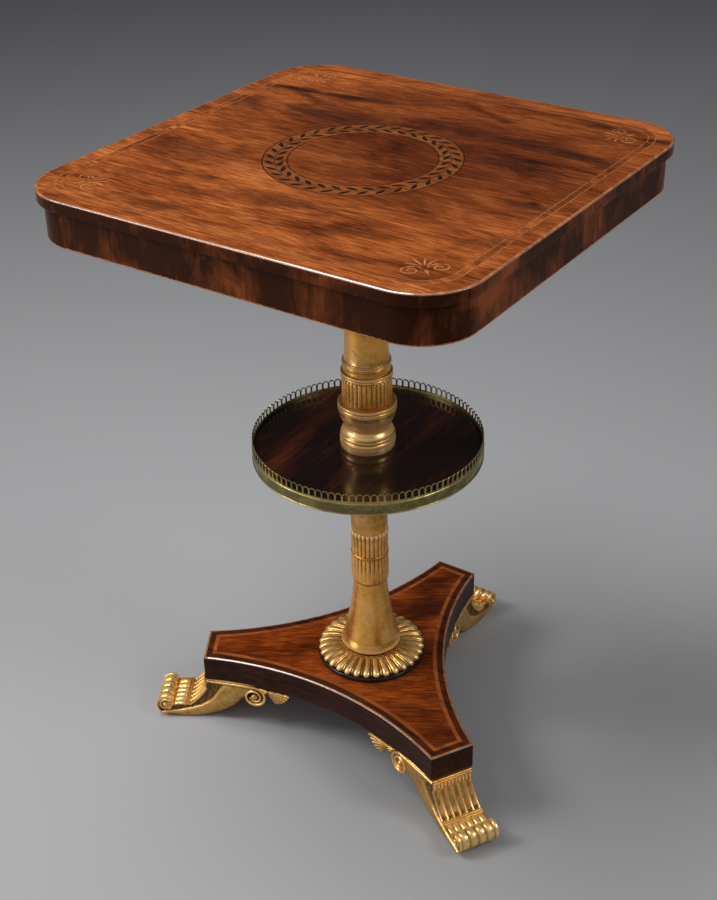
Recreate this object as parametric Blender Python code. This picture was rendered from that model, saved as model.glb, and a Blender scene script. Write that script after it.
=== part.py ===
"""Two-tier occasional table: a square inlaid top on a gilt column, with a round
galleried shelf part way up, a concave three-armed platform and carved scroll feet."""

import math

import bmesh
import bpy
from mathutils import Matrix, Vector

# Driving dimensions, in metres
GAP = 0.0003
VENEER = 0.001

TOP_SIDE = 0.508
TOP_CORNER_RADIUS = 0.0635
TOP_HEIGHT = 0.743
TOP_THICKNESS = 0.0135
TOP_OVERHANG = 0.0066
CROSSBAND_WIDTH = 0.019
STRING_WIDTH = 0.0016
BORDER_BAND_WIDTH = 0.0065
WREATH_OUTER_RADIUS = 0.1045
WREATH_INNER_RADIUS = 0.0775

FRIEZE_DEPTH = 0.040
RAIL_THICKNESS = 0.020
GLUE_BLOCK_LEG = 0.022
GLUE_BLOCK_LENGTH = 0.060
GLUE_BLOCK_SPREAD = 0.433
BEARER_WIDTH = 0.110
BEARER_THICKNESS = 0.022
SCREW_SHANK_RADIUS = 0.002
SCREW_HEAD_RADIUS = 0.004
SCREW_BITE = 0.008
SCREW_SPACING_X = 0.300
SCREW_SPACING_Y = 0.070

MOULDING_EASE = 0.0012
UPPER_TENON_RADIUS = 0.016
SHAFT_TOP_RADIUS = 0.0220
SHAFT_BASE_RADIUS = 0.0253
NECK_RING_RADIUS = 0.0277
NECK_RING_HEIGHT = 0.0045
NECK_BAND_RADIUS = 0.0275
NECK_BAND_HEIGHT = 0.009
ASTRAGAL_RADIUS = 0.0296
ASTRAGAL_HEIGHT = 0.0075
DRUM_RADIUS = 0.0285
DRUM_HEIGHT = 0.032
REED_COUNT = 32
REED_DEPTH = 0.0014
LIP_RADIUS = 0.0337
LIP_HEIGHT = 0.010
CUP_HEIGHT = 0.0215
WAIST_RADIUS = 0.0263
SHOULDER_HEIGHT = 0.0085
FILLET_RADIUS = 0.0315
FILLET_HEIGHT = 0.0045
BASE_RADIUS = 0.0321
BASE_HEIGHT = 0.0133

SHELF_HEIGHT = 0.4024
SHELF_THICKNESS = 0.011
GALLERY_RADIUS = 0.1326
BAND_WALL = 0.0015
BAND_STAND = 0.0023
BAND_LIP_WIDTH = 0.005
BAND_LIP_THICKNESS = 0.0013
BAND_BEAD = 0.0007
FRET_HEIGHT = 0.0112
FRET_WALL = 0.0011
FRET_ARCHES = 108
FRET_BAR_WIDTH = 0.0030
FRET_ARCH_RISE = 0.0021
FRET_DIP_DEPTH = 0.0023
SPIGOT_RADIUS = 0.012
SPIGOT_LENGTH = 0.024

LOWER_SHAFT_RADIUS = 0.0217
TIER_RADIUS = 0.0222
TIER_RING_RADIUS = 0.0229
TIER_RING_HEIGHT = 0.004
UPPER_TIER_HEIGHT = 0.031
LOWER_TIER_HEIGHT = 0.037
TIER_NECK_HEIGHT = 0.007
TIER_TIP_HEIGHT = 0.0025
FLUTE_COUNT = 26
FLUTE_DEPTH = 0.0012
NECK_RADIUS = 0.0205
FLARE_RADIUS = 0.0366
FLARE_HEIGHT = 0.092
FLARE_LIP_HEIGHT = 0.0045
FLARE_POWER = 1.47
FLARE_STEPS = 4
LOWER_TENON_RADIUS = 0.017
WEDGE_THICKNESS = 0.003
WEDGE_TIP_THICKNESS = 0.0018
WEDGE_LENGTH = 0.020

COLLAR_RADIUS = 0.0648
COLLAR_INNER_RADIUS = 0.039
COLLAR_HEIGHT = 0.0108
COLLAR_RIM_HEIGHT = 0.0028
GADROON_COUNT = 32
GADROON_DEPTH = 0.0026
GADROON_SECTION_DEGREES = (0, 35, 70, 106)
PLINTH_RADIUS = 0.066
PLINTH_HEIGHT = 0.006

PLATFORM_HEIGHT = 0.0999
PLATFORM_THICKNESS = 0.0338
PLATFORM_END_REACH = 0.2084
PLATFORM_WAIST = 0.0914
PLATFORM_EDGE_RADIUS = 0.400
PLATFORM_CROSSBAND = 0.0105
PLATFORM_STRING = 0.003

FOOT_SIDE_INSET = 0.002
FOOT_FRONT_OVERHANG = 0.0028
FOOT_FILLET_HEIGHT = 0.0034
FOOT_FILLET_GROOVE = 0.0015
FOOT_BEAD_HEIGHT = 0.006
COVE_FORWARD_PULL = 0.4
COVE_DOWN_PULL = 0.62
COVE_STEPS = 4
INSTEP_OFFSET = 0.0246
INSTEP_HEIGHT = 0.0215
CROSS_RIDGE_WIDTH = 0.003
CROSS_RIDGE_HEIGHT = 0.0016
FOOT_FLUTES = 6
FOOT_FLUTE_DEPTH = 0.0022
PETAL_DEPTH = 0.0016
PETAL_SWELL = 0.0006
TOE_OFFSET = 0.057
TOE_HEIGHT = 0.020
TOE_RADIUS = 0.010
TOE_SPIRAL_GROWTH = 0.5
TOE_START_DEGREES = 150
TOE_SWEEP_DEGREES = 228
TOE_STEPS = 5
TOE_BEADS = 4
TOE_BEAD_DEPTH = 0.0014
SOLE_FLAT_LENGTH = 0.016
SOLE_TOE_RISE = 0.0016
SOLE_PULLS = ((0.0044, 0.0022), (0.030, 0.0159))
SOLE_JOIN_DEGREES = -18
SOLE_STEPS = 6
VOLUTE_SETBACK = 0.062
VOLUTE_DROP = 0.0188
VOLUTE_RADIUS = 0.014
VOLUTE_EYE_RADIUS = 0.0045
VOLUTE_TURNS = 1.75
VOLUTE_BACK_DEGREES = (-55, -90, -125, -160, -195)
SCROLL_BAND_WIDTH = 0.0034
SCROLL_BAND_RELIEF = 0.0018
SCROLL_BAND_DROP = 0.0043
SCROLL_BAND_TAPER = 0.4
SCROLL_STEPS = 13
LEAF_LENGTH = 0.041
LEAF_SHORTENING = 0.38
LEAF_NOTCH = 0.86
LEAF_LOBES = 4
LEAF_START_DEGREES = 172
LEAF_SPREAD_DEGREES = 48
LEAF_ROOT_SETBACK = 0.004
LEAF_ROOT_DROP = 0.0085
LEAF_STEM_HALF = 0.0052
LEAF_THICKNESS = 0.008
LEAF_RIDGE = 0.0012
DOWEL_RADIUS = 0.005
DOWEL_DEPTH = 0.014
DOWEL_SETBACKS = (0.018, 0.043)

ROUND_SEGMENTS = 36
BORE_SEGMENTS = 18
CORNER_SEGMENTS = 4
EDGE_SEGMENTS = 9
SMALL_SEGMENTS = 8
ARM_ANGLES = {"back": 90.0, "left": 210.0, "front": 330.0}

# Levels worked out from the driving dimensions
top_veneer_low = TOP_HEIGHT - VENEER
board_top = top_veneer_low - GAP
board_low = TOP_HEIGHT - TOP_THICKNESS
frieze_top = board_low - GAP
frieze_low = board_low - FRIEZE_DEPTH
bearer_low = frieze_top - BEARER_THICKNESS
frieze_half = TOP_SIDE / 2 - TOP_OVERHANG
frieze_radius = TOP_CORNER_RADIUS - TOP_OVERHANG
rail_outer = frieze_half - VENEER - GAP
rail_inner = rail_outer - RAIL_THICKNESS
shelf_board_top = SHELF_HEIGHT - VENEER - GAP
shelf_low = SHELF_HEIGHT - SHELF_THICKNESS
shelf_radius = GALLERY_RADIUS - BAND_WALL - GAP
upper_seat = shelf_board_top + GAP
platform_low = PLATFORM_HEIGHT - PLATFORM_THICKNESS
core_top = PLATFORM_HEIGHT - VENEER - GAP
plinth_low = PLATFORM_HEIGHT + GAP
collar_low = plinth_low + PLINTH_HEIGHT + GAP
lower_seat = collar_low + COLLAR_HEIGHT + GAP
foot_top = platform_low - GAP
edge_centre_distance = PLATFORM_WAIST + PLATFORM_EDGE_RADIUS
field_inset = PLATFORM_CROSSBAND + PLATFORM_STRING + 2 * GAP


# Scene and material helpers
def clear_scene():
    """Remove every object of the open scene."""
    for old in list(bpy.data.objects):
        bpy.data.objects.remove(old, do_unlink=True)


def material(name, colour, roughness, metallic=0.0):
    """Return a Principled material of one colour."""
    made = bpy.data.materials.new(name)
    made.use_nodes = True
    shader = made.node_tree.nodes["Principled BSDF"]
    shader.inputs["Base Color"].default_value = (*colour, 1.0)
    shader.inputs["Roughness"].default_value = roughness
    shader.inputs["Metallic"].default_value = metallic
    return made


def add_object(name, mesh, finish, turn=0.0, place=(0.0, 0.0, 0.0)):
    """Link a mesh as a named piece under the table's empty, turned about Z in degrees."""
    piece = bpy.data.objects.new(name, mesh)
    bpy.context.scene.collection.objects.link(piece)
    if not mesh.materials:
        mesh.materials.append(finish)
    piece.parent = table
    piece.location = place
    piece.rotation_euler[2] = math.radians(turn)
    return piece


def mesh_from(bm, smooth_angle=None):
    """Turn a closed bmesh into a mesh with its faces pointing out."""
    bmesh.ops.recalc_face_normals(bm, faces=bm.faces[:])
    mesh = bpy.data.meshes.new("shape")
    bm.to_mesh(mesh)
    bm.free()
    if smooth_angle is not None:
        mesh.shade_smooth()
        mesh.set_sharp_from_angle(angle=math.radians(smooth_angle))
    return mesh


def cut(piece, cutter_mesh, operation="DIFFERENCE"):
    """Cut a piece with a mesh given in the table's own coordinates."""
    cutter = add_object(piece.name + "_cutter", cutter_mesh, None)
    cutter.hide_render = True
    cutter.display_type = "WIRE"
    boolean = piece.modifiers.new("cut", "BOOLEAN")
    boolean.object = cutter
    boolean.operation = operation
    boolean.solver = "EXACT"


# Shape helpers
def circle(radius, count=ROUND_SEGMENTS, centre=(0.0, 0.0)):
    """Points of a circle, counter-clockwise from +X."""
    turns = [2 * math.pi * i / count for i in range(count)]
    return [(centre[0] + radius * math.cos(a), centre[1] + radius * math.sin(a)) for a in turns]


def rounded_square(half, radius):
    """Outline of a square with round corners, counter-clockwise."""
    points = []
    for quarter, (sx, sy) in enumerate([(1, 1), (-1, 1), (-1, -1), (1, -1)]):
        centre_x = sx * (half - radius)
        centre_y = sy * (half - radius)
        for step in range(CORNER_SEGMENTS + 1):
            a = math.pi / 2 * (quarter + step / CORNER_SEGMENTS)
            points.append((centre_x + radius * math.cos(a), centre_y + radius * math.sin(a)))
    return points


def prism(bm, outline, low, high):
    """Extrude a flat outline from one height to another."""
    face = bm.faces.new([bm.verts.new((x, y, low)) for x, y in outline])
    grown = bmesh.ops.extrude_face_region(bm, geom=[face])["geom"]
    lifted = [item for item in grown if isinstance(item, bmesh.types.BMVert)]
    bmesh.ops.translate(bm, verts=lifted, vec=(0.0, 0.0, high - low))


def plate(outline, low, high, smooth_angle=30):
    """A flat plate of the given outline."""
    bm = bmesh.new()
    prism(bm, outline, low, high)
    return mesh_from(bm, smooth_angle)


def ring_plate(outer, inner, low, high, smooth_angle=30):
    """A flat plate between two outlines; the inner one may have half the points of the outer."""
    bm = bmesh.new()
    loops = [[bm.verts.new((x, y, z)) for x, y in outline]
             for outline, z in ((outer, low), (outer, high), (inner, high), (inner, low))]
    skin_loops(bm, loops + loops[:1])
    return mesh_from(bm, smooth_angle)


def skin_loops(bm, loops):
    """Join loops of points in order; a loop may have twice the points of its neighbour."""
    for first, second in zip(loops, loops[1:]):
        few, many = sorted((first, second), key=len)
        share = len(many) // len(few)
        for i in range(len(few)):
            here = few[i]
            there = few[(i + 1) % len(few)]
            run = [many[(i * share + s) % len(many)] for s in range(share + 1)]
            if share == 1:
                bm.faces.new((there, here, run[0], run[1]))
            else:
                bm.faces.new((here, run[0], run[1]))
                bm.faces.new((there, here, run[1]))
                bm.faces.new((there, run[1], run[2]))


def turned(rows, lobes, closed=False, smooth_angle=35):
    """Turn rows of (radius, height, carved depth) about Z. A carved row has a ridge and
    a groove for each lobe, and a row with no carving is plain round."""
    bm = bmesh.new()
    loops = []
    for radius, height, depth in rows:
        if depth:
            radii = [radius - depth * (1 - i % 2) for i in range(2 * lobes)]
        else:
            radii = [radius] * lobes
        count = len(radii)
        loops.append([bm.verts.new((r * math.cos(2 * math.pi * i / count),
                                    r * math.sin(2 * math.pi * i / count), height))
                      for i, r in enumerate(radii)])
    if closed:
        loops.append(loops[0])
    else:
        bm.faces.new(loops[0])
        bm.faces.new(loops[-1])
    skin_loops(bm, loops)
    return mesh_from(bm, smooth_angle)


def cylinders(centres, radius, low, high, count=SMALL_SEGMENTS):
    """Upright round pegs or cutters in one mesh."""
    bm = bmesh.new()
    for centre in centres:
        prism(bm, circle(radius, count, centre), low, high)
    return mesh_from(bm, 30)


def bead_rows(low, height, radius, swell):
    """Rows of a half-round moulding."""
    return [(radius - swell, low, 0), (radius, low + height / 2, 0), (radius - swell, low + height, 0)]


# Square top and frieze
def make_top():
    """The board and its inlaid face: crossband, two lines, border, field, wreath and centre."""
    half = TOP_SIDE / 2

    def inset_outline(inset):
        return rounded_square(half - inset, TOP_CORNER_RADIUS - inset)

    board = add_object("top_board", plate(inset_outline(0.0), board_low, board_top), substrate)
    cut(board, cylinders(screw_places(), SCREW_SHANK_RADIUS + GAP, board_low - SCREW_BITE,
                         board_low + SCREW_BITE + GAP))
    inset = 0.0
    for name, width, finish in (("top_crossband", CROSSBAND_WIDTH, rosewood),
                                ("top_stringing_outer", STRING_WIDTH, boxwood),
                                ("top_border_band", BORDER_BAND_WIDTH, rosewood),
                                ("top_stringing_inner", STRING_WIDTH, boxwood)):
        strip = ring_plate(inset_outline(inset), inset_outline(inset + width), top_veneer_low, TOP_HEIGHT)
        add_object(name, strip, finish)
        inset += width + GAP
    field = add_object("top_field", plate(inset_outline(inset), top_veneer_low, TOP_HEIGHT), rosewood)
    hole = circle(WREATH_OUTER_RADIUS + GAP)
    cut(field, plate(hole, top_veneer_low - VENEER, TOP_HEIGHT + VENEER))
    wreath = ring_plate(circle(WREATH_OUTER_RADIUS), circle(WREATH_INNER_RADIUS + GAP),
                        top_veneer_low, TOP_HEIGHT)
    add_object("wreath_band", wreath, boxwood)
    add_object("top_centre", plate(circle(WREATH_INNER_RADIUS), top_veneer_low, TOP_HEIGHT), rosewood)


def make_frieze():
    """Four rails and four curved corner blocks under the board, faced with one veneer."""
    length = 2 * (frieze_half - frieze_radius) - 2 * GAP
    rail = [(-length / 2, rail_inner), (length / 2, rail_inner),
            (length / 2, rail_outer), (-length / 2, rail_outer)]
    rail_mesh = plate(rail, frieze_low, frieze_top)
    for name, turn in (("frieze_rail_back", 0), ("frieze_rail_left", 90),
                       ("frieze_rail_front", 180), ("frieze_rail_right", 270)):
        add_object(name, rail_mesh, substrate, turn)
    corner_radius = frieze_radius - VENEER - GAP
    corner_centre = frieze_half - frieze_radius
    turns = [math.pi / 2 * i / CORNER_SEGMENTS for i in range(CORNER_SEGMENTS + 1)]
    outer = [(corner_centre + corner_radius * math.cos(a), corner_centre + corner_radius * math.sin(a))
             for a in turns]
    inner_radius = corner_radius - RAIL_THICKNESS
    inner = [(corner_centre + inner_radius * math.cos(a), corner_centre + inner_radius * math.sin(a))
             for a in reversed(turns)]
    corner_mesh = plate(outer + inner, frieze_low, frieze_top)
    for index in range(4):
        add_object(f"frieze_corner_{index + 1}", corner_mesh, substrate, 90 * index)
    skin = ring_plate(rounded_square(frieze_half, frieze_radius),
                      rounded_square(frieze_half - VENEER, frieze_radius - VENEER), frieze_low, frieze_top)
    add_object("frieze_veneer", skin, rosewood_dark)


def make_glue_blocks():
    """Three-cornered blocks in the angle of each rail and the board."""
    bm = bmesh.new()
    back = rail_inner - GAP
    top = frieze_top
    corners = [(back, top), (back - GLUE_BLOCK_LEG, top), (back, top - GLUE_BLOCK_LEG)]
    face = bm.faces.new([bm.verts.new((-GLUE_BLOCK_LENGTH / 2, y, z)) for y, z in corners])
    grown = bmesh.ops.extrude_face_region(bm, geom=[face])["geom"]
    moved = [item for item in grown if isinstance(item, bmesh.types.BMVert)]
    bmesh.ops.translate(bm, verts=moved, vec=(GLUE_BLOCK_LENGTH, 0.0, 0.0))
    block_mesh = mesh_from(bm)
    for index in range(8):
        side = GLUE_BLOCK_SPREAD * TOP_SIDE / 2 * (1 - 2 * (index % 2))
        turn = math.radians(90 * (index // 2))
        place = (side * math.cos(turn), side * math.sin(turn), 0.0)
        add_object(f"glue_block_{index + 1}", block_mesh, substrate, math.degrees(turn), place)


def screw_places():
    """Plan positions of the four screws through the bearer."""
    return [(sx * SCREW_SPACING_X / 2, sy * SCREW_SPACING_Y / 2) for sx in (-1, 1) for sy in (-1, 1)]


def make_bearer():
    """The cross bearer that takes the column's tenon, with its four countersunk screws."""
    half_length = rail_inner - GAP
    half_width = BEARER_WIDTH / 2
    outline = [(-half_length, -half_width), (half_length, -half_width),
               (half_length, half_width), (-half_length, half_width)]
    bearer = add_object("top_bearer", plate(outline, bearer_low, frieze_top), substrate)
    cut(bearer, cylinders([(0.0, 0.0)], UPPER_TENON_RADIUS + GAP, bearer_low - VENEER,
                          frieze_top + VENEER, BORE_SEGMENTS))
    head_depth = SCREW_HEAD_RADIUS - SCREW_SHANK_RADIUS
    hole = [(SCREW_HEAD_RADIUS + 2 * GAP, bearer_low - GAP, 0),
            (SCREW_SHANK_RADIUS + GAP, bearer_low + head_depth, 0),
            (SCREW_SHANK_RADIUS + GAP, frieze_top + VENEER, 0)]
    shank = [(SCREW_HEAD_RADIUS, bearer_low + GAP, 0),
             (SCREW_SHANK_RADIUS, bearer_low + GAP + head_depth, 0),
             (SCREW_SHANK_RADIUS, board_low + SCREW_BITE, 0)]
    screw_mesh = turned(shank, SMALL_SEGMENTS)
    for index, (x, y) in enumerate(screw_places()):
        add_object(f"bearer_screw_{index + 1}", screw_mesh, iron, 0.0, (x, y, 0.0))
        hole_mesh = turned(hole, SMALL_SEGMENTS)
        hole_mesh.transform(Matrix.Translation((x, y, 0.0)))
        cut(bearer, hole_mesh)


# Column
def make_upper_column():
    """Turned gilt column from the shelf to the bearer, with a reeded drum over a cup and base."""
    bore = SPIGOT_RADIUS + GAP
    rows = [(bore, upper_seat + SPIGOT_LENGTH + GAP, 0), (bore, upper_seat, 0)]
    z = upper_seat
    rows += bead_rows(z, BASE_HEIGHT, BASE_RADIUS, MOULDING_EASE)
    z += BASE_HEIGHT
    rows += [(FILLET_RADIUS, z + GAP, 0), (FILLET_RADIUS, z + FILLET_HEIGHT, 0)]
    z += FILLET_HEIGHT
    rows.append(((FILLET_RADIUS + WAIST_RADIUS) / 2, z + SHOULDER_HEIGHT / 3, 0))
    z += SHOULDER_HEIGHT
    rim_radius = LIP_RADIUS - MOULDING_EASE
    cup_middle = WAIST_RADIUS + (rim_radius - WAIST_RADIUS) * math.sin(math.pi / 4)
    rows += [(WAIST_RADIUS, z, 0), (cup_middle, z + CUP_HEIGHT / 2, 0), (rim_radius, z + CUP_HEIGHT, 0)]
    z += CUP_HEIGHT
    rows += [(LIP_RADIUS, z + MOULDING_EASE, 0), (LIP_RADIUS, z + LIP_HEIGHT - MOULDING_EASE, 0)]
    z += LIP_HEIGHT
    rows += [(DRUM_RADIUS, z, REED_DEPTH), (DRUM_RADIUS, z + DRUM_HEIGHT, REED_DEPTH)]
    z += DRUM_HEIGHT
    rows += bead_rows(z, ASTRAGAL_HEIGHT, ASTRAGAL_RADIUS, MOULDING_EASE)
    z += ASTRAGAL_HEIGHT
    rows += [(NECK_BAND_RADIUS, z + GAP, 0), (NECK_BAND_RADIUS, z + NECK_BAND_HEIGHT, 0)]
    z += NECK_BAND_HEIGHT
    rows += [(NECK_RING_RADIUS, z + NECK_RING_HEIGHT / 2, 0),
             (NECK_RING_RADIUS - MOULDING_EASE, z + NECK_RING_HEIGHT, 0)]
    z += NECK_RING_HEIGHT
    shoulder = bearer_low - GAP
    rows += [(SHAFT_BASE_RADIUS, z + NECK_RING_HEIGHT, 0), (SHAFT_TOP_RADIUS, shoulder, 0)]
    rows += [(UPPER_TENON_RADIUS, shoulder, 0), (UPPER_TENON_RADIUS, frieze_top - GAP, 0)]
    add_object("column_upper", turned(rows, REED_COUNT), gilt)


def make_lower_column():
    """Gilt column from the platform to the shelf: tenon, flared foot, two carved tiers and spigot."""
    rows = [(LOWER_TENON_RADIUS, platform_low + GAP, 0), (LOWER_TENON_RADIUS, lower_seat, 0)]
    z = lower_seat
    rows += [(FLARE_RADIUS - MOULDING_EASE, z, 0), (FLARE_RADIUS, z + FLARE_LIP_HEIGHT / 2, 0)]
    z += FLARE_LIP_HEIGHT
    rise = FLARE_HEIGHT - FLARE_LIP_HEIGHT
    for step in range(FLARE_STEPS + 1):
        share = step / FLARE_STEPS
        narrowing = (1 - share) ** FLARE_POWER
        rows.append((NECK_RADIUS + (FLARE_RADIUS - NECK_RADIUS) * narrowing, z + rise * share, 0))
    z += rise
    rows += [(TIER_RADIUS - FLUTE_DEPTH, z + GAP, 0),
             (TIER_RADIUS, z + TIER_NECK_HEIGHT, FLUTE_DEPTH),
             (TIER_RADIUS, z + LOWER_TIER_HEIGHT, FLUTE_DEPTH)]
    z += LOWER_TIER_HEIGHT
    rows += [(TIER_RING_RADIUS, z, 0), (TIER_RING_RADIUS, z + TIER_RING_HEIGHT, 0)]
    z += TIER_RING_HEIGHT
    rows += [(TIER_RADIUS, z, FLUTE_DEPTH),
             (TIER_RADIUS + GAP, z + UPPER_TIER_HEIGHT - TIER_TIP_HEIGHT, FLUTE_DEPTH)]
    z += UPPER_TIER_HEIGHT
    shoulder = shelf_low - GAP
    rows += [(LOWER_SHAFT_RADIUS, z, 0), (LOWER_SHAFT_RADIUS, shoulder, 0)]
    rows += [(SPIGOT_RADIUS, shoulder, 0), (SPIGOT_RADIUS, upper_seat + SPIGOT_LENGTH, 0)]
    column = add_object("column_lower", turned(rows, FLUTE_COUNT), gilt)
    half_slot = WEDGE_THICKNESS / 2 + GAP
    reach = 2 * LOWER_TENON_RADIUS
    slot = [(-reach, -half_slot), (reach, -half_slot), (reach, half_slot), (-reach, half_slot)]
    slot_top = platform_low + GAP + WEDGE_LENGTH + GAP
    cut(column, plate(slot, platform_low - PLATFORM_THICKNESS, slot_top))


def make_wedge():
    """The tapered wedge that spreads the column's tenon under the platform."""
    half_width = math.sqrt(LOWER_TENON_RADIUS ** 2 - WEDGE_THICKNESS ** 2) - 2 * GAP
    bm = bmesh.new()
    low = platform_low + GAP
    loops = []
    for thickness, z in ((WEDGE_THICKNESS, low), (WEDGE_TIP_THICKNESS, low + WEDGE_LENGTH)):
        half = thickness / 2
        loops.append([bm.verts.new((sx * half_width, sy * half, z))
                      for sx, sy in ((-1, -1), (1, -1), (1, 1), (-1, 1))])
    bm.faces.new(loops[0])
    bm.faces.new(loops[1])
    skin_loops(bm, loops)
    add_object("tenon_wedge", mesh_from(bm), substrate)


def make_collar_and_plinth():
    """The gadrooned ring round the column's foot and the ebonised ring below it."""
    hole = LOWER_TENON_RADIUS + GAP
    rim = collar_low + COLLAR_RIM_HEIGHT
    dome_height = COLLAR_HEIGHT - COLLAR_RIM_HEIGHT
    dome_width = COLLAR_RADIUS - COLLAR_INNER_RADIUS
    rows = [(hole, collar_low, 0), (hole, collar_low + COLLAR_HEIGHT, 0)]
    for degrees in GADROON_SECTION_DEGREES:
        a = math.radians(degrees)
        depth = GADROON_DEPTH * math.sin(a)
        radius = COLLAR_INNER_RADIUS + dome_width * math.sin(a)
        rows.append((radius, rim + dome_height * math.cos(a), depth))
    rows.append((COLLAR_RADIUS - 2 * GADROON_DEPTH, collar_low, 0))
    add_object("gadroon_collar", turned(rows, GADROON_COUNT, closed=True), gilt)
    plinth = ring_plate(circle(PLINTH_RADIUS), circle(hole, BORE_SEGMENTS),
                        plinth_low, plinth_low + PLINTH_HEIGHT)
    add_object("ebonised_plinth", plinth, ebony)


# Shelf and gallery
def make_shelf():
    """The round shelf board, bored for the column's spigot, and the veneer round the column's base."""
    bore = circle(SPIGOT_RADIUS + GAP, BORE_SEGMENTS)
    board = ring_plate(circle(shelf_radius), bore, shelf_low, shelf_board_top)
    add_object("shelf_board", board, substrate)
    opening = circle((BASE_RADIUS + GAP) / math.cos(math.pi / ROUND_SEGMENTS))
    face = ring_plate(circle(shelf_radius), opening, shelf_board_top + GAP, SHELF_HEIGHT)
    add_object("shelf_veneer", face, rosewood_dark)


def make_gallery_band():
    """The brass band round the shelf's edge, turned in below and beaded at both edges."""
    inner = GALLERY_RADIUS - BAND_WALL
    low = shelf_low - GAP - BAND_LIP_THICKNESS
    top = SHELF_HEIGHT + BAND_STAND
    proud = GALLERY_RADIUS + BAND_BEAD
    bead = 2 * BAND_BEAD
    lip = inner - BAND_LIP_WIDTH
    rows = [(inner, top, 0), (proud, top, 0), (GALLERY_RADIUS, top - bead, 0),
            (GALLERY_RADIUS, low + bead, 0), (proud, low, 0),
            (lip, low, 0), (lip, shelf_low - GAP, 0), (inner, shelf_low - GAP, 0)]
    add_object("gallery_band", turned(rows, ROUND_SEGMENTS, closed=True), brass)


def make_gallery_fret():
    """The pierced brass arcade on the band: a row of small round-headed arches."""
    low = SHELF_HEIGHT + BAND_STAND + GAP
    pitch = 2 * math.pi * GALLERY_RADIUS / FRET_ARCHES
    bar = FRET_BAR_WIDTH / 2 / pitch
    top = low + FRET_HEIGHT
    crown = top - FRET_BAR_WIDTH / 2
    spring = crown - FRET_ARCH_RISE
    dip = top - FRET_DIP_DEPTH
    bay_points = ((0.0, dip), (bar, low), (bar, spring), (0.5, crown), (0.5, top),
                  (1 - bar, spring), (1 - bar, low))
    bm = bmesh.new()
    walls = []
    for radius in (GALLERY_RADIUS, GALLERY_RADIUS - FRET_WALL):
        bays = []
        for i in range(FRET_ARCHES):
            bay = []
            for across, height in bay_points:
                a = 2 * math.pi * (i + across) / FRET_ARCHES
                bay.append(bm.verts.new((radius * math.cos(a), radius * math.sin(a), height)))
            bays.append(bay)
        walls.append(bays)
    for i in range(FRET_ARCHES):
        j = (i + 1) % FRET_ARCHES
        outlines = []
        for bays in walls:
            dip_here, low_left, spring_left, crown_point, top_point, spring_right, low_right = bays[i]
            dip_there = bays[j][0]
            bm.faces.new((spring_left, crown_point, spring_right, dip_there, top_point, dip_here))
            bm.faces.new((low_right, bays[j][1], bays[j][2], dip_there, spring_right))
            outlines.append([low_left, spring_left, crown_point, spring_right, low_right, bays[j][1],
                             dip_here, top_point, dip_there])
        outer, inner = outlines
        for first, second in ((0, 1), (1, 2), (2, 3), (3, 4), (4, 5), (6, 7), (7, 8)):
            bm.faces.new((outer[first], outer[second], inner[second], inner[first]))
    add_object("gallery_fret", mesh_from(bm), brass)


# Platform
def edge_half_width(reach):
    """Half the width of a platform arm at a distance from the column's axis."""
    centre_x = edge_centre_distance * math.cos(math.radians(60))
    centre_y = edge_centre_distance * math.sin(math.radians(60))
    return centre_y - math.sqrt(PLATFORM_EDGE_RADIUS ** 2 - (reach - centre_x) ** 2)


def concave_side(arm, inset):
    """Points of the hollow edge from one arm to the next, set in from the outline."""
    centre_angle = math.radians(arm + 60)
    centre = Vector((math.cos(centre_angle), math.sin(centre_angle))) * edge_centre_distance
    radius = PLATFORM_EDGE_RADIUS + inset
    reach = PLATFORM_END_REACH - inset
    centre_x = edge_centre_distance * math.cos(math.radians(60))
    centre_y = edge_centre_distance * math.sin(math.radians(60))
    half_width = centre_y - math.sqrt(radius ** 2 - (reach - centre_x) ** 2)
    spread = math.atan2(half_width - centre_y, reach - centre_x) - math.radians(-120)
    points = []
    for step in range(EDGE_SEGMENTS + 1):
        a = centre_angle + math.pi + spread * (1 - 2 * step / EDGE_SEGMENTS)
        points.append((centre.x + radius * math.cos(a), centre.y + radius * math.sin(a)))
    return points


def platform_outline(inset):
    """Closed outline of the platform, counter-clockwise, set in by a distance."""
    return [point for arm in ARM_ANGLES.values() for point in concave_side(arm, inset)]


def dowel_bores():
    """Cutters for the two dowels between a foot and the platform, for an arm along X."""
    places = [(PLATFORM_END_REACH - setback, 0.0) for setback in DOWEL_SETBACKS]
    return cylinders(places, DOWEL_RADIUS + GAP, foot_top - DOWEL_DEPTH - GAP,
                     platform_low + DOWEL_DEPTH + GAP)


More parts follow.
